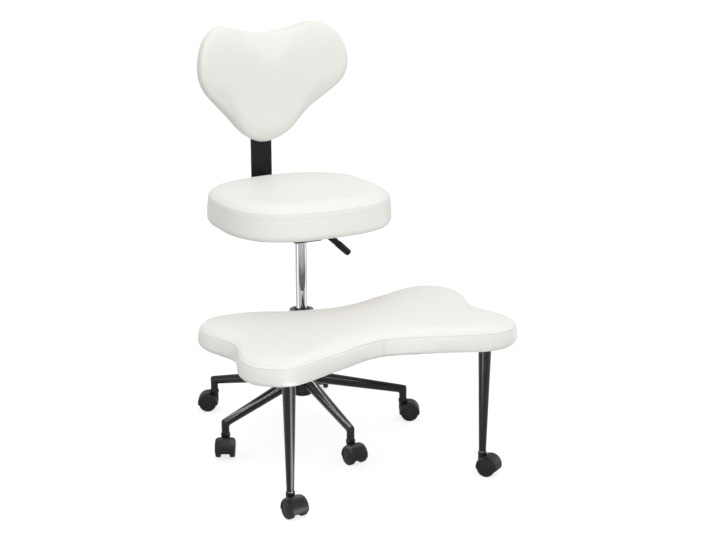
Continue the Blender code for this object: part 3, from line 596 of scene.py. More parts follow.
def sewn(rings, seam_row, joins=(), twin=0.0, seed=1):
    """Seams pressed into a fine grid. A seam's groove falls off with the distance from its row and has a
    raised lip and small gathers on both sides. A join is the upright seam of the side band at x = 0, on the
    side that its sign gives, and a twin is a fainter stitch line at that length below the seam. Returns the
    rings and how deep in a seam each point lies."""
    chair = sizes()
    wide = chair.seam_width
    steps = np.linalg.norm(np.diff(rings, axis=0), axis=-1)
    run = np.concatenate([np.zeros((1, rings.shape[1])), np.cumsum(steps, 0)])
    away = run - run[seam_row]
    depth = bell(away, wide)
    lip = bell(np.abs(away) - LIP_AWAY * wide, LIP_WIDTH * wide)
    turn = np.linalg.norm(np.diff(rings[seam_row], axis=0, append=rings[seam_row][:1]), axis=-1)
    phase = 2 * pi * np.cumsum(turn)
    gather = np.sin(phase / GATHER_LENGTH + 2 * np.sin(phase / GATHER_DRIFT))
    gather = gather * bell(away, GATHER_REACH) * (1 - depth)
    from_foot = run - run[(UNDER_ROWS + 1) * FINER]
    band = np.clip(-away / BAND_TOP_FADE, 0, 1) * np.clip(from_foot / BAND_FOOT_FADE, 0, 1)
    for sign in joins:
        facing = (sign * (rings[..., 1] - rings[..., 1].mean()) > JOIN_SIDE) * band
        depth = np.maximum(depth, JOIN_DEPTH * bell(rings[..., 0], JOIN_WIDTH * wide) * facing)
    if twin:
        depth = np.maximum(depth, TWIN_DEPTH * bell(away + twin, wide))
    waves = soft_waves(rings, seed) * np.clip(np.abs(away) / SLACK_FADE, 0, 1)
    push = chair.seam_depth * (LIP_HEIGHT * lip - depth) + chair.pucker * gather + chair.slack * waves
    return rings + outward(rings) * push[..., None], depth


def upholster(node, rings, held, seam, **stitching):
    """A cushion of leatherette: its first rows and its seam are held while it is blown up, then it is cut
    finer and sewn. Its seam attribute paints shade into the seams."""
    rings = puffed(rings, [*range(held), seam])
    rings = refined(refined(rings, FINER, False).swapaxes(0, 1), FINER, True).swapaxes(0, 1)
    rings, depth = sewn(rings, seam * FINER, **stitching)
    item = piece(f"{node}_cover", [skin(rings)], "white_leatherette", BODY_OF[node], [node])
    # Painted shade: how deep each point lies in a seam, which the leatherette shows as a darker colour
    shade = item.data.attributes.new("seam", "FLOAT", "POINT")
    shade.data.foreach_set("value", np.concatenate([depth.ravel(), [0, 0]]).astype(np.float32))


def boxed_cushion(node, outline, foot, seam, shoulder, **stitching):
    """A boxed cushion on an outline: a flat foot, a rounded edge, a side that leans in towards its top, the
    seam and a crown."""
    low, high = corners(node)
    lift = np.linspace(0, 1, WALL_ROWS + 1)[1:]
    wall = np.stack([np.ones(WALL_ROWS), SEAM_INSET * lift ** 2, foot + (seam - foot) * lift], -1)
    rows = np.concatenate([underside(foot, BOXED_UNDER_SHARES), quarter(foot), wall,
                           crown(seam, SEAM_INSET, shoulder, high[2] - low[2] - CROWN_DRAW_IN)])
    rings = shrunk(outline, rows) + ((low + high) / 2 * (1, 1, 0) + (0, 0, low[2]))
    upholster(node, rings, UNDER_ROWS + 2, UNDER_ROWS + ROUND_ROWS + WALL_ROWS - 1, **stitching)


class CHAIR_OT_seat_cushion(bpy.types.Operator):
    """Boxed seat cushion: a rounded square whose filling is blown up, with a seam round its top edge."""

    bl_idname = "chair.seat_cushion"
    bl_label = "Seat cushion"

    def execute(self, context):
        low, high = corners("seat_cushion")
        half = (high - low) / 2 - FIRST_DRAW_IN
        outline = oval(half[0], half[1], COLUMNS, SEAT_POWER)
        boxed_cushion("seat_cushion", outline, SEAT_FOOT, SEAT_SEAM, SEAT_SHOULDER, joins=(1,),
                      twin=TWIN_STITCH, seed=11)
        return {"FINISHED"}


class CHAIR_OT_footrest_cushion(bpy.types.Operator):
    """Bone-shaped footrest cushion with a seam round its top edge, joins in its side band and its board."""

    bl_idname = "chair.footrest_cushion"
    bl_label = "Footrest cushion"

    def execute(self, context):
        low, high = corners("footrest_cushion")
        half = (high - low)[:2] / 2 - FIRST_DRAW_IN
        outline = whole_outline(np.array(FOOTREST_OUTLINE) * (1, -1), -half, half)
        boxed_cushion("footrest_cushion", outline, FOOTREST_FOOT, FOOTREST_SEAM, FOOTREST_SHOULDER,
                      joins=(-1, 1), seed=23)
        foot, top = levels("footrest_board")
        edge = [(FOOTREST_BOARD_INSET + BEVEL, foot), (FOOTREST_BOARD_INSET, foot + BEVEL)]
        edge += [(inset, foot + top - height) for inset, height in edge[::-1]]
        rows = [(MIDDLE_SHARE, 0, foot), *((1, *spot) for spot in edge), (MIDDLE_SHARE, 0, top)]
        board = shrunk(outline, rows) + (low + high) / 2 * (1, 1, 0)
        node = "footrest_board"
        piece(f"{node}_sheet", [skin(board)], "plywood", BODY_OF[node], [node])
        return {"FINISHED"}


class CHAIR_OT_back_cushion(bpy.types.Operator):
    """Heart-shaped back cushion, hollow towards the sitter, with a seam round its rear edge."""

    bl_idname = "chair.back_cushion"
    bl_label = "Back cushion"

    def execute(self, context):
        low, high = corners("back_cushion")
        centre = low[2] + BACK_MIDDLE * (high[2] - low[2])
        outline = whole_outline(BACK_OUTLINE, np.array((low[0], low[2] - centre)) + FIRST_DRAW_IN,
                                np.array((high[0], high[2] - centre)) - FIRST_DRAW_IN)
        wall = [(1, 0, BACK_REAR_EDGE + (BACK_SIDE - BACK_REAR_EDGE) * share) for share in (0.5, 1)]
        rows = np.concatenate([underside(BACK_REAR_EDGE, BACK_UNDER_SHARES), quarter(BACK_REAR_EDGE), wall,
                               crown(BACK_SIDE, 0, BACK_SHOULDER, BACK_DEPTH)])
        across, up, depth = np.moveaxis(shrunk(outline, rows), -1, 0)
        depth = depth + across ** 2 / (2 * BACK_BEND_RADIUS)
        rings = np.stack([across, high[1] - depth, centre + up], -1)
        upholster("back_cushion", rings, UNDER_ROWS + 1, UNDER_ROWS + BACK_SEAM_ROW, seed=37)
        return {"FINISHED"}


# Steel frame and gas column

BEVEL = 0.0008
FIT = 0.0003
TUBE_SIDES, ARM_SIDES, STEM_SIDES, GRIP_SIDES, ROD_SIDES, SCREW_SIDES = 96, 48, 48, 40, 32, 32
HUB_BEVEL = 0.0015
ARM_ROOT_HEIGHT, ARM_ROOT_WIDTH, ARM_ROOT_LEVEL = 0.030, 0.031, 0.127
ARM_TIP_HEIGHT, ARM_TIP_LEVEL = 0.0215, 0.080
ARM_SINK = 0.004
ARM_STATIONS, MITRE_STATIONS = 9, 7
STUB_RADIUS = 0.0095
STEM_RADIUS = 0.0055
STEM_REACH = 0.020
MITRE_ROUND = 0.005
BEAD_STATIONS, BEAD_SIDES = 72, 10
BEAD_RIPPLES, BEAD_RIPPLE = 24, 0.16
TUBE_WALL, TUBE_FLOOR, TUBE_CHAMFER = 0.002, 0.003, 0.002
BUSH_WALL, BUSH_FLANGE, BUSH_PLAY = 0.0034, 0.003, 0.0005
ROD_RADIUS = 0.005
CYLINDER_WALL = 0.0022
CYLINDER_CONE, CYLINDER_EDGE = 0.018, 0.001
CYLINDER_GLAND, CYLINDER_PLUG = 0.006, 0.020
VALVE_RADIUS = 0.003
LEG_TOP_RADIUS, LEG_FOOT_RADIUS = 0.015, 0.0085
LEG_PLATE, LEG_FOOT_EDGE = 0.003, 0.0012
LEG_SCREWS_DEG = (30, 150, 270)
# The weld under a leg's plate: how far out and how far down, in bead radii
LEG_FILLET = ((1, 0), (0.4, 0.5), (0, 1.5))
LEVER_RADIUS, LEVER_ROUND = 0.004, 0.010
LEVER_BEND = 0.0495
LEVER_DROP_DEG = 43.0
GRIP_START, GRIP_LENGTH, GRIP_SOCKET = 0.018, 0.092, 0.0217
GRIP_HALF_WIDTH, GRIP_HALF_THICKNESS = 0.0105, 0.0088
GRIP_POWER = 2.7
BAR_THICKNESS, BAR_BEND, BAR_EDGE = 0.006, 0.026, 0.0015
BAR_SCREW_LEVELS, BAR_SCREW_SIDE = (0.045, 0.105), 0.016
BRACKET_THICKNESS, BRACKET_EDGE, BRACKET_BEND = 0.005, 0.0012, 0.010
BRACKET_SLEEVE, SLEEVE_WALL, COLLAR_LAP, STRAP_LAP = 0.045, 0.0042, 0.0065, 0.004
BRACKET_STEP_START, BRACKET_STEP_END = 0.050, 0.075
BRACKET_SCREW_ROWS, BRACKET_SCREW_SIDE = (0.018, 0.060, 0.102), 0.018
# Radius and height of a screw's head from its rim to its socket, as shares of its radius
SCREW_PROFILE = ((1, 0), (1, 0.25), (0.85, 0.45), (0.55, 0.58), (0.42, 0.6), (0.38, 0.55), (0.34, 0.2))
# The grip from its mouth to its tip: place, width and thickness as shares of the grip's own
GRIP_SECTIONS = ((0, 0.6, 0.7), (0.015, 0.85, 0.9), (0.05, 0.95, 1), (0.3, 0.95, 0.95), (0.52, 0.92, 0.9),
                 (0.58, 1.1, 0.98), (0.75, 1.12, 0.98), (0.95, 1.1, 0.95), (0.985, 1, 0.85), (1, 0.75, 0.6))


def hollow_ring(inner, outer, foot, top, bevel=BEVEL):
    """Closed profile of a ring with bevelled edges, listed down its outer side."""
    return [(outer - bevel, top), (outer, top - bevel), (outer, foot + bevel), (outer - bevel, foot),
            (inner + bevel, foot), (inner, foot + bevel), (inner, top - bevel), (inner + bevel, top)]


def screw_head(place, way):
    """A pan head on a face: a low dome with a round socket, turned about the way that it points."""
    turn = Vector(way).to_track_quat("Z", "Y").to_matrix().to_4x4()
    profile = np.array(SCREW_PROFILE) * sizes().screw
    return lathe(profile, Matrix.Translation(Vector(place)) @ turn, SCREW_SIDES)


def arm_skins(name, caster):
    """A tapered oval tube from the hub to a mitre and a round stub below it. The mitre's corner is a
    quadratic Bezier between the rings on both sides. A rippled weld bead follows the tube on the hub."""
    way = pivot(f"{caster}_swivel") - COLUMN
    reach = np.hypot(way[0], way[1])
    hub = half_width("base_hub")
    across, up = np.cos(around(ARM_SIDES)), np.sin(around(ARM_SIDES))
    slope = (ARM_ROOT_LEVEL - ARM_TIP_LEVEL) / (reach - hub)

    def level(radius, height):
        return np.stack([reach + radius * up, radius * across, np.broadcast_to(height, ARM_SIDES)], -1)

    root = np.stack([np.full(ARM_SIDES, hub - ARM_SINK), ARM_ROOT_WIDTH / 2 * across,
                     ARM_ROOT_LEVEL + slope * ARM_SINK + ARM_ROOT_HEIGHT / 2 * up], -1)
    mitre = level(STUB_RADIUS, ARM_TIP_LEVEL + (ARM_TIP_HEIGHT / 2 - slope * STUB_RADIUS) * up)
    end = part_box(name)[0][2]
    foot = level(STUB_RADIUS, end + BEVEL)

    def part_way(target):
        side = target - mitre
        return mitre + side * MITRE_ROUND / np.linalg.norm(side, axis=1, keepdims=True)

    run = np.linspace(0, 1, ARM_STATIONS + 1)[:-1, None, None]
    tube = root + (part_way(root) - root) * run
    corner = bezier(part_way(root), mitre, part_way(foot), np.linspace(0, 1, MITRE_STATIONS)[:, None, None])
    mouth = level(STEM_RADIUS + FIT, end)
    ends = [foot, level(STUB_RADIUS - BEVEL, end), mouth, mouth + (0, 0, STEM_REACH + 2 * FIT)]
    turn = around(BEAD_STATIONS)
    side = (ARM_ROOT_WIDTH / 2 + BEVEL) * np.cos(turn)
    height = ARM_ROOT_LEVEL + (ARM_ROOT_HEIGHT / 2 + BEVEL) * np.sin(turn)
    path = np.stack([np.sqrt(hub ** 2 - side ** 2), side, height], -1)
    ripple = sizes().weld * (1 + BEAD_RIPPLE * np.sin(BEAD_RIPPLES * turn))[:, None, None]
    bead = swept(path, oval(1, 1, BEAD_SIDES) * ripple, (1, 0, 0), loop=True)
    place = ABOUT_COLUMN @ Matrix.Rotation(atan2(way[1], way[0]), 4, "Z")
    return [skin(placed(np.concatenate([tube, corner, ends]), place)), skin(placed(bead, place), loop=True)]


class CHAIR_OT_base(bpy.types.Operator):
    """Hub ring and five arms of the base."""

    bl_idname = "chair.base"
    bl_label = "Base"

    def execute(self, context):
        tube, hub = half_width("outer_tube"), half_width("base_hub")
        ring = hollow_ring(tube + FIT, hub, *levels("base_hub"), HUB_BEVEL)
        dress("base_hub", [lathe(ring, ABOUT_COLUMN, TUBE_SIDES, True)], "black_powder_coat")
        for arm, caster in zip(ARMS, CASTERS):
            dress(arm, arm_skins(arm, caster), "black_powder_coat")
        return {"FINISHED"}


class CHAIR_OT_column(bpy.types.Operator):
    """Outer tube, guide bush and chromed cylinder of the gas column, as turned shapes."""

    bl_idname = "chair.column"
    bl_label = "Gas column"

    def execute(self, context):
        tube, cylinder = half_width("outer_tube"), half_width("gas_cylinder")
        bore, rod = tube - TUBE_WALL, ROD_RADIUS + FIT
        foot, top = levels("outer_tube")
        floor = foot + TUBE_FLOOR
        self.add("outer_tube", "black_powder_coat", [
            (tube - BEVEL, top), (tube, top - BEVEL), (tube, foot + TUBE_CHAMFER),
            (tube - TUBE_CHAMFER, foot), (rod, foot), (rod, floor), (bore, floor), (bore, top)])

        foot, top = levels("guide_bush")
        inner, flange, sleeve = cylinder + FIT, half_width("guide_bush"), bore - BUSH_PLAY
        nose = inner + BUSH_WALL
        shelf = top - BRACKET_THICKNESS - FIT
        self.add("guide_bush", "black_nylon", [
            (nose - BEVEL, top), (nose, top - BEVEL), (nose, shelf), (flange, shelf),
            (flange, shelf - BUSH_FLANGE), (sleeve, shelf - BUSH_FLANGE), (sleeve, foot), (inner, foot),
            (inner, top)])

        foot, top = levels("gas_cylinder")
        chamber, valve = cylinder - CYLINDER_WALL, VALVE_RADIUS + FIT
        neck = cylinder - CYLINDER_EDGE
        gland, plug = foot + CYLINDER_GLAND, top - CYLINDER_PLUG
        self.add("gas_cylinder", "chrome", [
            (neck, top), (cylinder, top - CYLINDER_CONE), (cylinder, foot + CYLINDER_EDGE), (neck, foot),
            (rod, foot), (rod, gland), (chamber, gland), (chamber, plug), (valve, plug), (valve, top)])
        return {"FINISHED"}

    def add(self, node, finish, profile):
        dress(node, [lathe(profile, ABOUT_COLUMN, TUBE_SIDES, True)], finish)


class CHAIR_OT_lever(bpy.types.Operator):
    """Height lever: a bent round rod, and a paddle grip lofted through oval sections."""

    bl_idname = "chair.lever"
    bl_label = "Height lever"

    def execute(self, context):
        start = pivot("lever_lift")
        drop = radians(LEVER_DROP_DEG)
        along = np.array((cos(drop), 0, -sin(drop)))
        bend = np.array((COLUMN[0] + LEVER_BEND, start[1], start[2]))
        inner_end = bend * (0, 1, 1) + (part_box("lever")[0][0], 0, 0)
        route = rounded([inner_end, bend, bend + along * (GRIP_START + GRIP_SOCKET)], LEVER_ROUND, 12)
        rod = swept(route, oval(LEVER_RADIUS, LEVER_RADIUS, ROD_SIDES), (0, 1, 0))
        dress("lever", [skin(rod)], "black_powder_coat")
        stations = refined(np.array(GRIP_SECTIONS), 4, False)
        path = bend + along * (GRIP_START + stations[:, :1] * GRIP_LENGTH)
        reach = stations[:, None, 1:] * (GRIP_HALF_WIDTH, GRIP_HALF_THICKNESS)
        grip = swept(path, oval(1, 1, GRIP_SIDES, GRIP_POWER)[None] * reach, (0, 1, 0))
        dress("lever_grip", [skin(grip)], "black_nylon")
        return {"FINISHED"}


def flat_bar(path, width, thickness, edge):
    """A flat bar with rounded edges carried along a path in the chair's middle plane."""
    square = np.array([(-1, 1), (-1, -1), (1, -1), (1, 1)]) * (width / 2, thickness / 2)
    line = np.concatenate([[(0, thickness / 2)], square, [(0, thickness / 2)]])
    return swept(path, rounded(line, edge, 6)[:-1], (1, 0, 0))


class CHAIR_OT_back_bar(bpy.types.Operator):
    """Bent flat bar that carries the back, with its rounded bend and four screws into the back board."""

    bl_idname = "chair.back_bar"
    bl_label = "Back bar"

    def execute(self, context):
        low, high = corners("back_bar")
        centre = (low[0] + high[0]) / 2
        foot, rear = low[2] + BAR_THICKNESS / 2, high[1] - BAR_THICKNESS / 2
        bends = [(centre, low[1], foot), (centre, rear, foot), (centre, rear, high[2])]
        bar = flat_bar(rounded(bends, BAR_BEND, 16), high[0] - low[0], BAR_THICKNESS, BAR_EDGE)
        dress("back_bar", [skin(bar)], "black_powder_coat")
        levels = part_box("back_board")[0][2] + np.array(BAR_SCREW_LEVELS)
        heads = [screw_head((centre + x, high[1], z), (0, 1, 0))
                 for z in levels for x in (-BAR_SCREW_SIDE, BAR_SCREW_SIDE)]
        piece("back_bar_screws", heads, "bright_steel", "seat")
        return {"FINISHED"}


class CHAIR_OT_footrest_frame(bpy.types.Operator):
    """Tapered legs with their plates, and the stepped bracket with its sleeve round the column."""

    bl_idname = "chair.footrest_frame"
    bl_label = "Footrest frame"

    def execute(self, context):
        for leg in LEGS:
            self.add_leg(leg)
        self.add_bracket()
        return {"FINISHED"}

    def add_leg(self, leg):
        foot, top = levels(leg)
        plate, bore, weld = half_width(leg), STEM_RADIUS + FIT, sizes().weld
        ledge = top - LEG_PLATE
        profile = [(plate - BEVEL, top), (plate, top - BEVEL), (plate, ledge + BEVEL),
                   (plate - BEVEL, ledge),
                   *((LEG_TOP_RADIUS + out * weld, ledge - down * weld) for out, down in LEG_FILLET),
                   (LEG_FOOT_RADIUS, foot + LEG_FOOT_EDGE), (LEG_FOOT_RADIUS - LEG_FOOT_EDGE, foot),
                   (bore, foot), (bore, foot + STEM_REACH + 2 * FIT)]
        place = Matrix.Translation(Vector(middle(leg) * (1, 1, 0)))
        dress(leg, [lathe(profile, place, TUBE_SIDES)], "black_powder_coat")
        reach = (plate + LEG_TOP_RADIUS) / 2
        spots = [middle(leg)[:2] + reach * np.array((cos(a), sin(a))) for a in np.radians(LEG_SCREWS_DEG)]
        heads = [screw_head((*spot, ledge), (0, 0, -1)) for spot in spots]
        piece(f"{leg}_screws", heads, "bright_steel", "footrest")

    def add_bracket(self):
        low, high = corners("footrest_bracket")
        half, thick = half_width("footrest_bracket"), BRACKET_THICKNESS
        shelf = low[2] + BRACKET_SLEEVE
        tube = half_width("outer_tube") + FIT
        nose = tube - COLLAR_LAP
        near, far = shelf + thick / 2, high[2] - thick / 2
        steps = [(0, -nose - STRAP_LAP, near), (0, -BRACKET_STEP_START, near), (0, -BRACKET_STEP_END, far),
                 (0, low[1] - COLUMN[1], far)]
        strap = flat_bar(rounded(steps, BRACKET_BEND, 8), 2 * half, thick, BRACKET_EDGE)
        rings = (hollow_ring(nose, half, shelf, shelf + thick),
                 hollow_ring(tube, tube + SLEEVE_WALL, low[2], near))
        skins = [lathe(ring, ABOUT_COLUMN, TUBE_SIDES, True) for ring in rings]
        dress("footrest_bracket", [*skins, skin(placed(strap, ABOUT_COLUMN))], "black_powder_coat")
        heads = [screw_head((COLUMN[0] + x, low[1] + y, high[2] - thick), (0, 0, -1))
                 for y in BRACKET_SCREW_ROWS for x in (-BRACKET_SCREW_SIDE, BRACKET_SCREW_SIDE)]
        piece("footrest_bracket_screws", heads, "bright_steel", "footrest")


# Casters

WHEEL_RADIUS, WHEEL_WIDTH = 0.022, 0.0122
WHEEL_SHOULDER, WHEEL_EDGE = 0.0035, 0.001
WHEEL_SINK, WHEEL_BORE_END = 0.0007, 0.0009
# Radius and height over the wheel's outer side, from its rim over the sunk face to its cap
WHEEL_FACE = ((0.0176, 0), (0.0170, -WHEEL_SINK), (0.0085, -WHEEL_SINK), (0.0078, -0.0002), (0.0065, 0),
              (0.0030, 0.0003))
AXLE_RADIUS = 0.003
HOOD_WEB, HOOD_WEB_FOOT = 0.021, 0.016
# The web's faces across its thickness, in half thicknesses, and the size of each
WEB_STATIONS = ((-1, 0.96), (-0.94, 1), (0.94, 1), (1, 0.96))
HOOD_SIDE_GAP = 0.0005
HOOD_INNER, HOOD_OUTER = 0.0236, 0.0260
HOOD_SKIRT_DEG = 12.0
HOOD_SHOULDER, HOOD_DROP = 0.011, 0.006
HOOD_EDGE, HOOD_LIP = 0.001, 0.0045
HOOD_STATIONS, WEB_SIDES = 40, 48
BOSS_RADIUS, BOSS_DEPTH = 0.010, 0.025
BOSS_CONE_TOP, BOSS_CONE_FOOT = 0.005, 0.007
# Radius of the boss's rim and how much of the stem's collar it covers, on the base and on the footrest
BOSS_RIMS = {"base": (0.0112, 1.0), "footrest": (0.0102, 0.6)}
STEM_SINK = 0.016
COLLAR_RADIUS, COLLAR_HEIGHT = 0.008, 0.0025


def caster_place(name):
    """Matrix from a caster's own frame, about its swivel axis and trailing along +X, to the chair's, and
    the trail."""
    stem, axle = pivot(f"{name}_swivel"), pivot(f"{name}_wheel_left_spin")
    way = axle - stem
    turn = Matrix.Rotation(atan2(way[1], way[0]), 4, "Z")
    return Matrix.Translation((stem[0], stem[1], 0)) @ turn, float(np.hypot(way[0], way[1]))


def wheel_profile():
    """A wheel about its axle: blind bore, tread with round shoulders, a rim, a sunk face and a low cap."""
    near = HOOD_WEB / 2 + HOOD_SIDE_GAP
    far = near + WHEEL_WIDTH
    bore = AXLE_RADIUS + FIT
    angle = np.linspace(0, pi / 2, 6)
    shoulder = np.stack([WHEEL_RADIUS - WHEEL_SHOULDER * (1 - np.cos(angle)),
                         far - WHEEL_SHOULDER * (1 - np.sin(angle))], -1)
    inside = [(bore, far - WHEEL_BORE_END), (bore, near), (WHEEL_RADIUS - WHEEL_EDGE, near),
              (WHEEL_RADIUS, near + WHEEL_EDGE)]
    return np.concatenate([inside, shoulder, np.array(WHEEL_FACE) + (0, far)])


def hood_shell():
    """Section of the hood, a band with rolled-over edges, carried round the axle from skirt to skirt."""
    half = HOOD_WEB / 2 + WHEEL_WIDTH + 2 * HOOD_SIDE_GAP
    angle = np.linspace(0, pi / 2, 8)
    edge = np.stack([half - HOOD_SHOULDER * (1 - np.sin(angle)),
                     HOOD_OUTER - HOOD_DROP * (1 - np.cos(angle))], -1)
    inner = [(half, HOOD_OUTER - HOOD_DROP - HOOD_EDGE), (half - HOOD_LIP, HOOD_INNER)]
    side = np.concatenate([edge, inner])
    across, out = np.concatenate([side, side[::-1] * (-1, 1)]).T
    turn = np.radians(np.linspace(-HOOD_SKIRT_DEG, 180 + HOOD_SKIRT_DEG, HOOD_STATIONS))[:, None]
    return np.stack([out * np.cos(turn), np.broadcast_to(across, (HOOD_STATIONS, len(across))),
                     out * np.sin(turn)], -1)


def hood_web():
    """The plate between the wheels: a circle cut off flat below, as thick as the gap, with bevels."""
    radius = (HOOD_INNER + HOOD_OUTER) / 2
    foot = np.arcsin((WHEEL_RADIUS - HOOD_WEB_FOOT) / radius)
    turn = np.linspace(-foot, pi + foot, WEB_SIDES)
    return np.array([np.stack([radius * np.cos(turn) * share, np.full(WEB_SIDES, side * HOOD_WEB / 2),
                               radius * np.sin(turn) * share], -1) for side, share in WEB_STATIONS])


def boss_profile(top, radius, cover):
    """The socket for the stem, with a rim round the stem's collar."""
    bore, mouth = STEM_RADIUS + FIT, COLLAR_RADIUS + FIT
    rim = top + cover * COLLAR_HEIGHT
    return [(bore, top - STEM_SINK - FIT), (bore, top), (mouth, top), (mouth, rim), (radius - BEVEL, rim),
            (radius, rim - BEVEL), (radius, top - BOSS_CONE_TOP), (BOSS_RADIUS, top - BOSS_CONE_FOOT),
            (BOSS_RADIUS, top - BOSS_DEPTH)]


def stem_profile(foot, collar, top):
    """The stem with its collar."""
    over = collar + COLLAR_HEIGHT
    return [(STEM_RADIUS - BEVEL, top), (STEM_RADIUS, top - BEVEL), (STEM_RADIUS, over),
            (COLLAR_RADIUS, over), (COLLAR_RADIUS, collar), (STEM_RADIUS, collar), (STEM_RADIUS, foot)]


class CHAIR_OT_casters(bpy.types.Operator):
    """Seven casters: plated stem, moulded hood and two wheels each."""

    bl_idname = "chair.casters"
    bl_label = "Casters"

    def execute(self, context):
        for name in CASTERS:
            place, trail = caster_place(name)
            axle = place @ Matrix.Translation((trail, 0, WHEEL_RADIUS))
            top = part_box(f"{name}_hood")[1][2]
            boss = boss_profile(top, *BOSS_RIMS[name.split("_")[0]])
            dress(f"{name}_hood", [skin(placed(hood_shell(), axle)), skin(placed(hood_web(), axle)),
                                   lathe(boss, place, STEM_SIDES)], "black_nylon")
            foot, tip = levels(f"{name}_stem")
            stem = stem_profile(foot, top + FIT, tip)
            dress(f"{name}_stem", [lathe(stem, place, STEM_SIDES)], "bright_steel")
            for side, turn in zip(SIDES, (-90, 90)):
                at = axle @ Matrix.Rotation(radians(turn), 4, "X")
                wheel = lathe(wheel_profile(), at, sizes().sides)
                dress(f"{name}_wheel_{side}", [wheel], "black_nylon")
        return {"FINISHED"}


# Stage

AMBIENT = 0.72
WHITE = (1, 1, 1, 1)
FLOOR_RADIUS, FLOOR_DEPTH, FLOOR_SIDES = 40.0, 0.01, 96
FLOOR_GLOW = 0.74
# Name, place, aim, width, height and watts of each lamp, and whether it is a strip that only glosses show
LAMPS = (
    ("key", (-0.8, -3.0, 2.0), (0, 0, 0.8), 2.2, 1.8, 36.0, False),
    ("top", (0.2, 0.0, 3.2), (0, 0, 0.3), 2.4, 2.4, 13.5, False),
    ("left_strip", (-2.4, -0.6, 0.9), (0, -0.3, 0.3), 0.35, 1.8, 3.0, True),
    ("right_strip", (2.6, -0.9, 1.6), (0, 0, 0.2), 0.4, 2.2, 20.0, True),
    ("leg_strip", (-0.16, -0.88, 0.004), (-0.16, -0.88, 1.0), 0.2, 0.95, 7.0, True),
    ("left_column_strip", (-1.0, 0.25, 0.16), (0, 0.12, 0.43), 0.3, 0.5, 1.1, True),
    ("right_column_strip", (0.96, -0.17, 0.16), (0, 0.12, 0.43), 0.3, 0.5, 0.9, True),
)
ARM_STRIP_SHARE, ARM_STRIP_NEAR, ARM_STRIP_LEVEL = 0.575, 0.16, 0.26
ARM_STRIP_WIDTH, ARM_STRIP_POWER = 0.03, 0.5


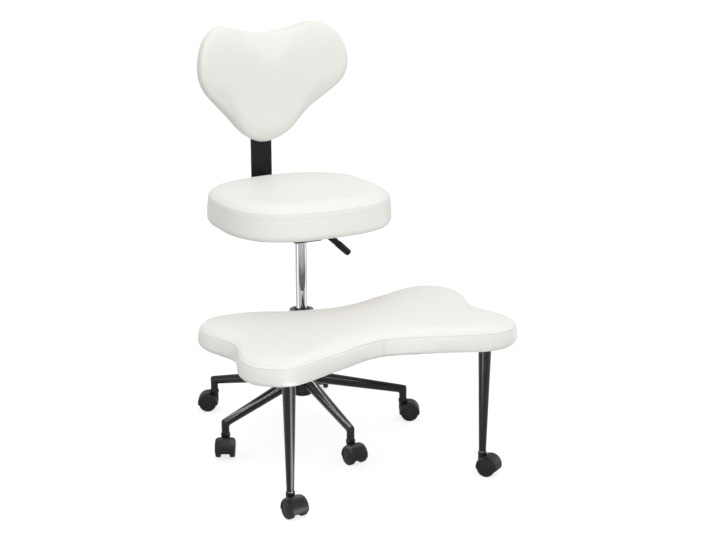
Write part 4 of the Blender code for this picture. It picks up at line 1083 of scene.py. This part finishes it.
class CHAIR_OT_stage(bpy.types.Operator):
    """Pale floor, soft studio light, the camera of the photograph and a plain colour transform."""

    bl_idname = "chair.stage"
    bl_label = "Stage"

    def execute(self, context):
        scene = context.scene
        scene.view_settings.view_transform = "Standard"
        self.make_world(scene)
        self.make_floor(scene)
        for lamp in LAMPS:
            self.make_lamp(*lamp)
        self.make_arm_strips()
        self.make_camera(scene)
        return {"FINISHED"}

    def seen_white(self, tree):
        """1 for what the camera sees at first hand, in metal and through glass, else 0."""
        path = add_node(tree, "ShaderNodeLightPath").outputs
        seen = path["Is Camera Ray"]
        for ray in ("Is Glossy Ray", "Is Transmission Ray"):
            either = add_node(tree, "ShaderNodeMath", None, {0: seen, 1: path[ray]}, operation="MAXIMUM")
            seen = either.outputs[0]
        return seen

    def make_world(self, scene):
        world = bpy.data.worlds.new("studio")
        scene.world = world
        world.use_nodes = True
        tree = world.node_tree
        ground = tree.nodes["Background"]
        strength = ramp_between(tree, self.seen_white(tree), AMBIENT, 1.0)
        tree.links.new(strength, ground.inputs["Strength"])
        ground.inputs["Color"].default_value = WHITE

    def make_floor(self, scene):
        """A wide disc that takes the shadow as a diffuse floor and glows up to white for the camera."""
        rim = [(FLOOR_RADIUS, 0), (FLOOR_RADIUS, -FLOOR_DEPTH)]
        mesh = mesh_of("floor", [skin(turned(rim, FLOOR_SIDES))])
        floor = bpy.data.objects.new("floor", mesh)
        scene.collection.objects.link(floor)
        tree, shader = start_finish("studio_floor", colours().floor, roughness=0.9, specular_ior_level=0.0,
                                    emission_color=WHITE)
        glow = ramp_between(tree, self.seen_white(tree), 0.0, FLOOR_GLOW)
        tree.links.new(glow, shader.inputs["Emission Strength"])
        mesh.materials.append(bpy.data.materials["studio_floor"])

    def make_lamp(self, name, place, aim, wide, high, power, gloss_only):
        light = bpy.data.lights.new(name, "AREA")
        light.shape = "RECTANGLE"
        light.size = wide
        light.size_y = high
        light.energy = power
        lamp = bpy.data.objects.new(name, light)
        lamp.location = place
        lamp.rotation_euler = (Vector(aim) - Vector(place)).to_track_quat("-Z", "Y").to_euler()
        lamp.visible_diffuse = not gloss_only
        lamp.visible_camera = False
        bpy.context.scene.collection.objects.link(lamp)
        return lamp

    def make_arm_strips(self):
        """A narrow lamp above each arm, nearer to the camera, gives the black tube a thin line."""
        turn = radians(CAMERA_TURN_DEG)
        ahead = np.array((sin(turn), cos(turn), 0))
        for arm, caster in zip(ARMS, CASTERS):
            way = (pivot(f"{caster}_swivel") - COLUMN) * (1, 1, 0)
            place = COLUMN + ARM_STRIP_SHARE * way - ARM_STRIP_NEAR * ahead + (0, 0, ARM_STRIP_LEVEL)
            lamp = self.make_lamp(f"{arm}_strip", place, place, np.linalg.norm(way), ARM_STRIP_WIDTH,
                                  ARM_STRIP_POWER, True)
            lamp.rotation_euler = (0, 0, atan2(way[1], way[0]))

    def make_camera(self, scene):
        data = bpy.data.cameras.new("photo_camera")
        data.sensor_width = SENSOR_WIDTH_MM
        data.lens = CAMERA_LENS_MM
        camera = bpy.data.objects.new("photo_camera", data)
        camera.location = Vector(COLUMN) + Vector((-CAMERA_LEFT, -CAMERA_BACK, CAMERA_HEIGHT))
        camera.rotation_euler = (radians(90 - CAMERA_DIP_DEG), 0, -radians(CAMERA_TURN_DEG))
        scene.collection.objects.link(camera)
        scene.camera = camera


OPERATORS = (CHAIR_OT_finishes, CHAIR_OT_base, CHAIR_OT_column, CHAIR_OT_lever, CHAIR_OT_back_bar,
             CHAIR_OT_footrest_frame, CHAIR_OT_casters, CHAIR_OT_seat_cushion, CHAIR_OT_footrest_cushion,
             CHAIR_OT_back_cushion, CHAIR_OT_stage)


class CHAIR_PT_panel(bpy.types.Panel):
    """Lists the chair's sizes, colours and pieces."""

    bl_label = "Cross-legged office chair"
    bl_space_type = "VIEW_3D"
    bl_region_type = "UI"
    bl_category = "Chair"

    def draw(self, context):
        for group in (context.scene.chair_sizes, context.scene.chair_colours):
            for name in group.__annotations__:
                self.layout.prop(group, name)
        for operator in OPERATORS:
            self.layout.operator(operator.bl_idname)


CLASSES = (ChairSizes, ChairColours, *OPERATORS, CHAIR_PT_panel)


def register():
    for made in CLASSES:
        bpy.utils.register_class(made)
    bpy.types.Scene.chair_sizes = PointerProperty(type=ChairSizes)
    bpy.types.Scene.chair_colours = PointerProperty(type=ChairColours)


def unregister():
    del bpy.types.Scene.chair_colours
    del bpy.types.Scene.chair_sizes
    for made in reversed(CLASSES):
        bpy.utils.unregister_class(made)


def main():
    register()
    for operator in OPERATORS:
        group, name = operator.bl_idname.split(".")
        getattr(getattr(bpy.ops, group), name)()


if __name__ == "__main__":
    main()
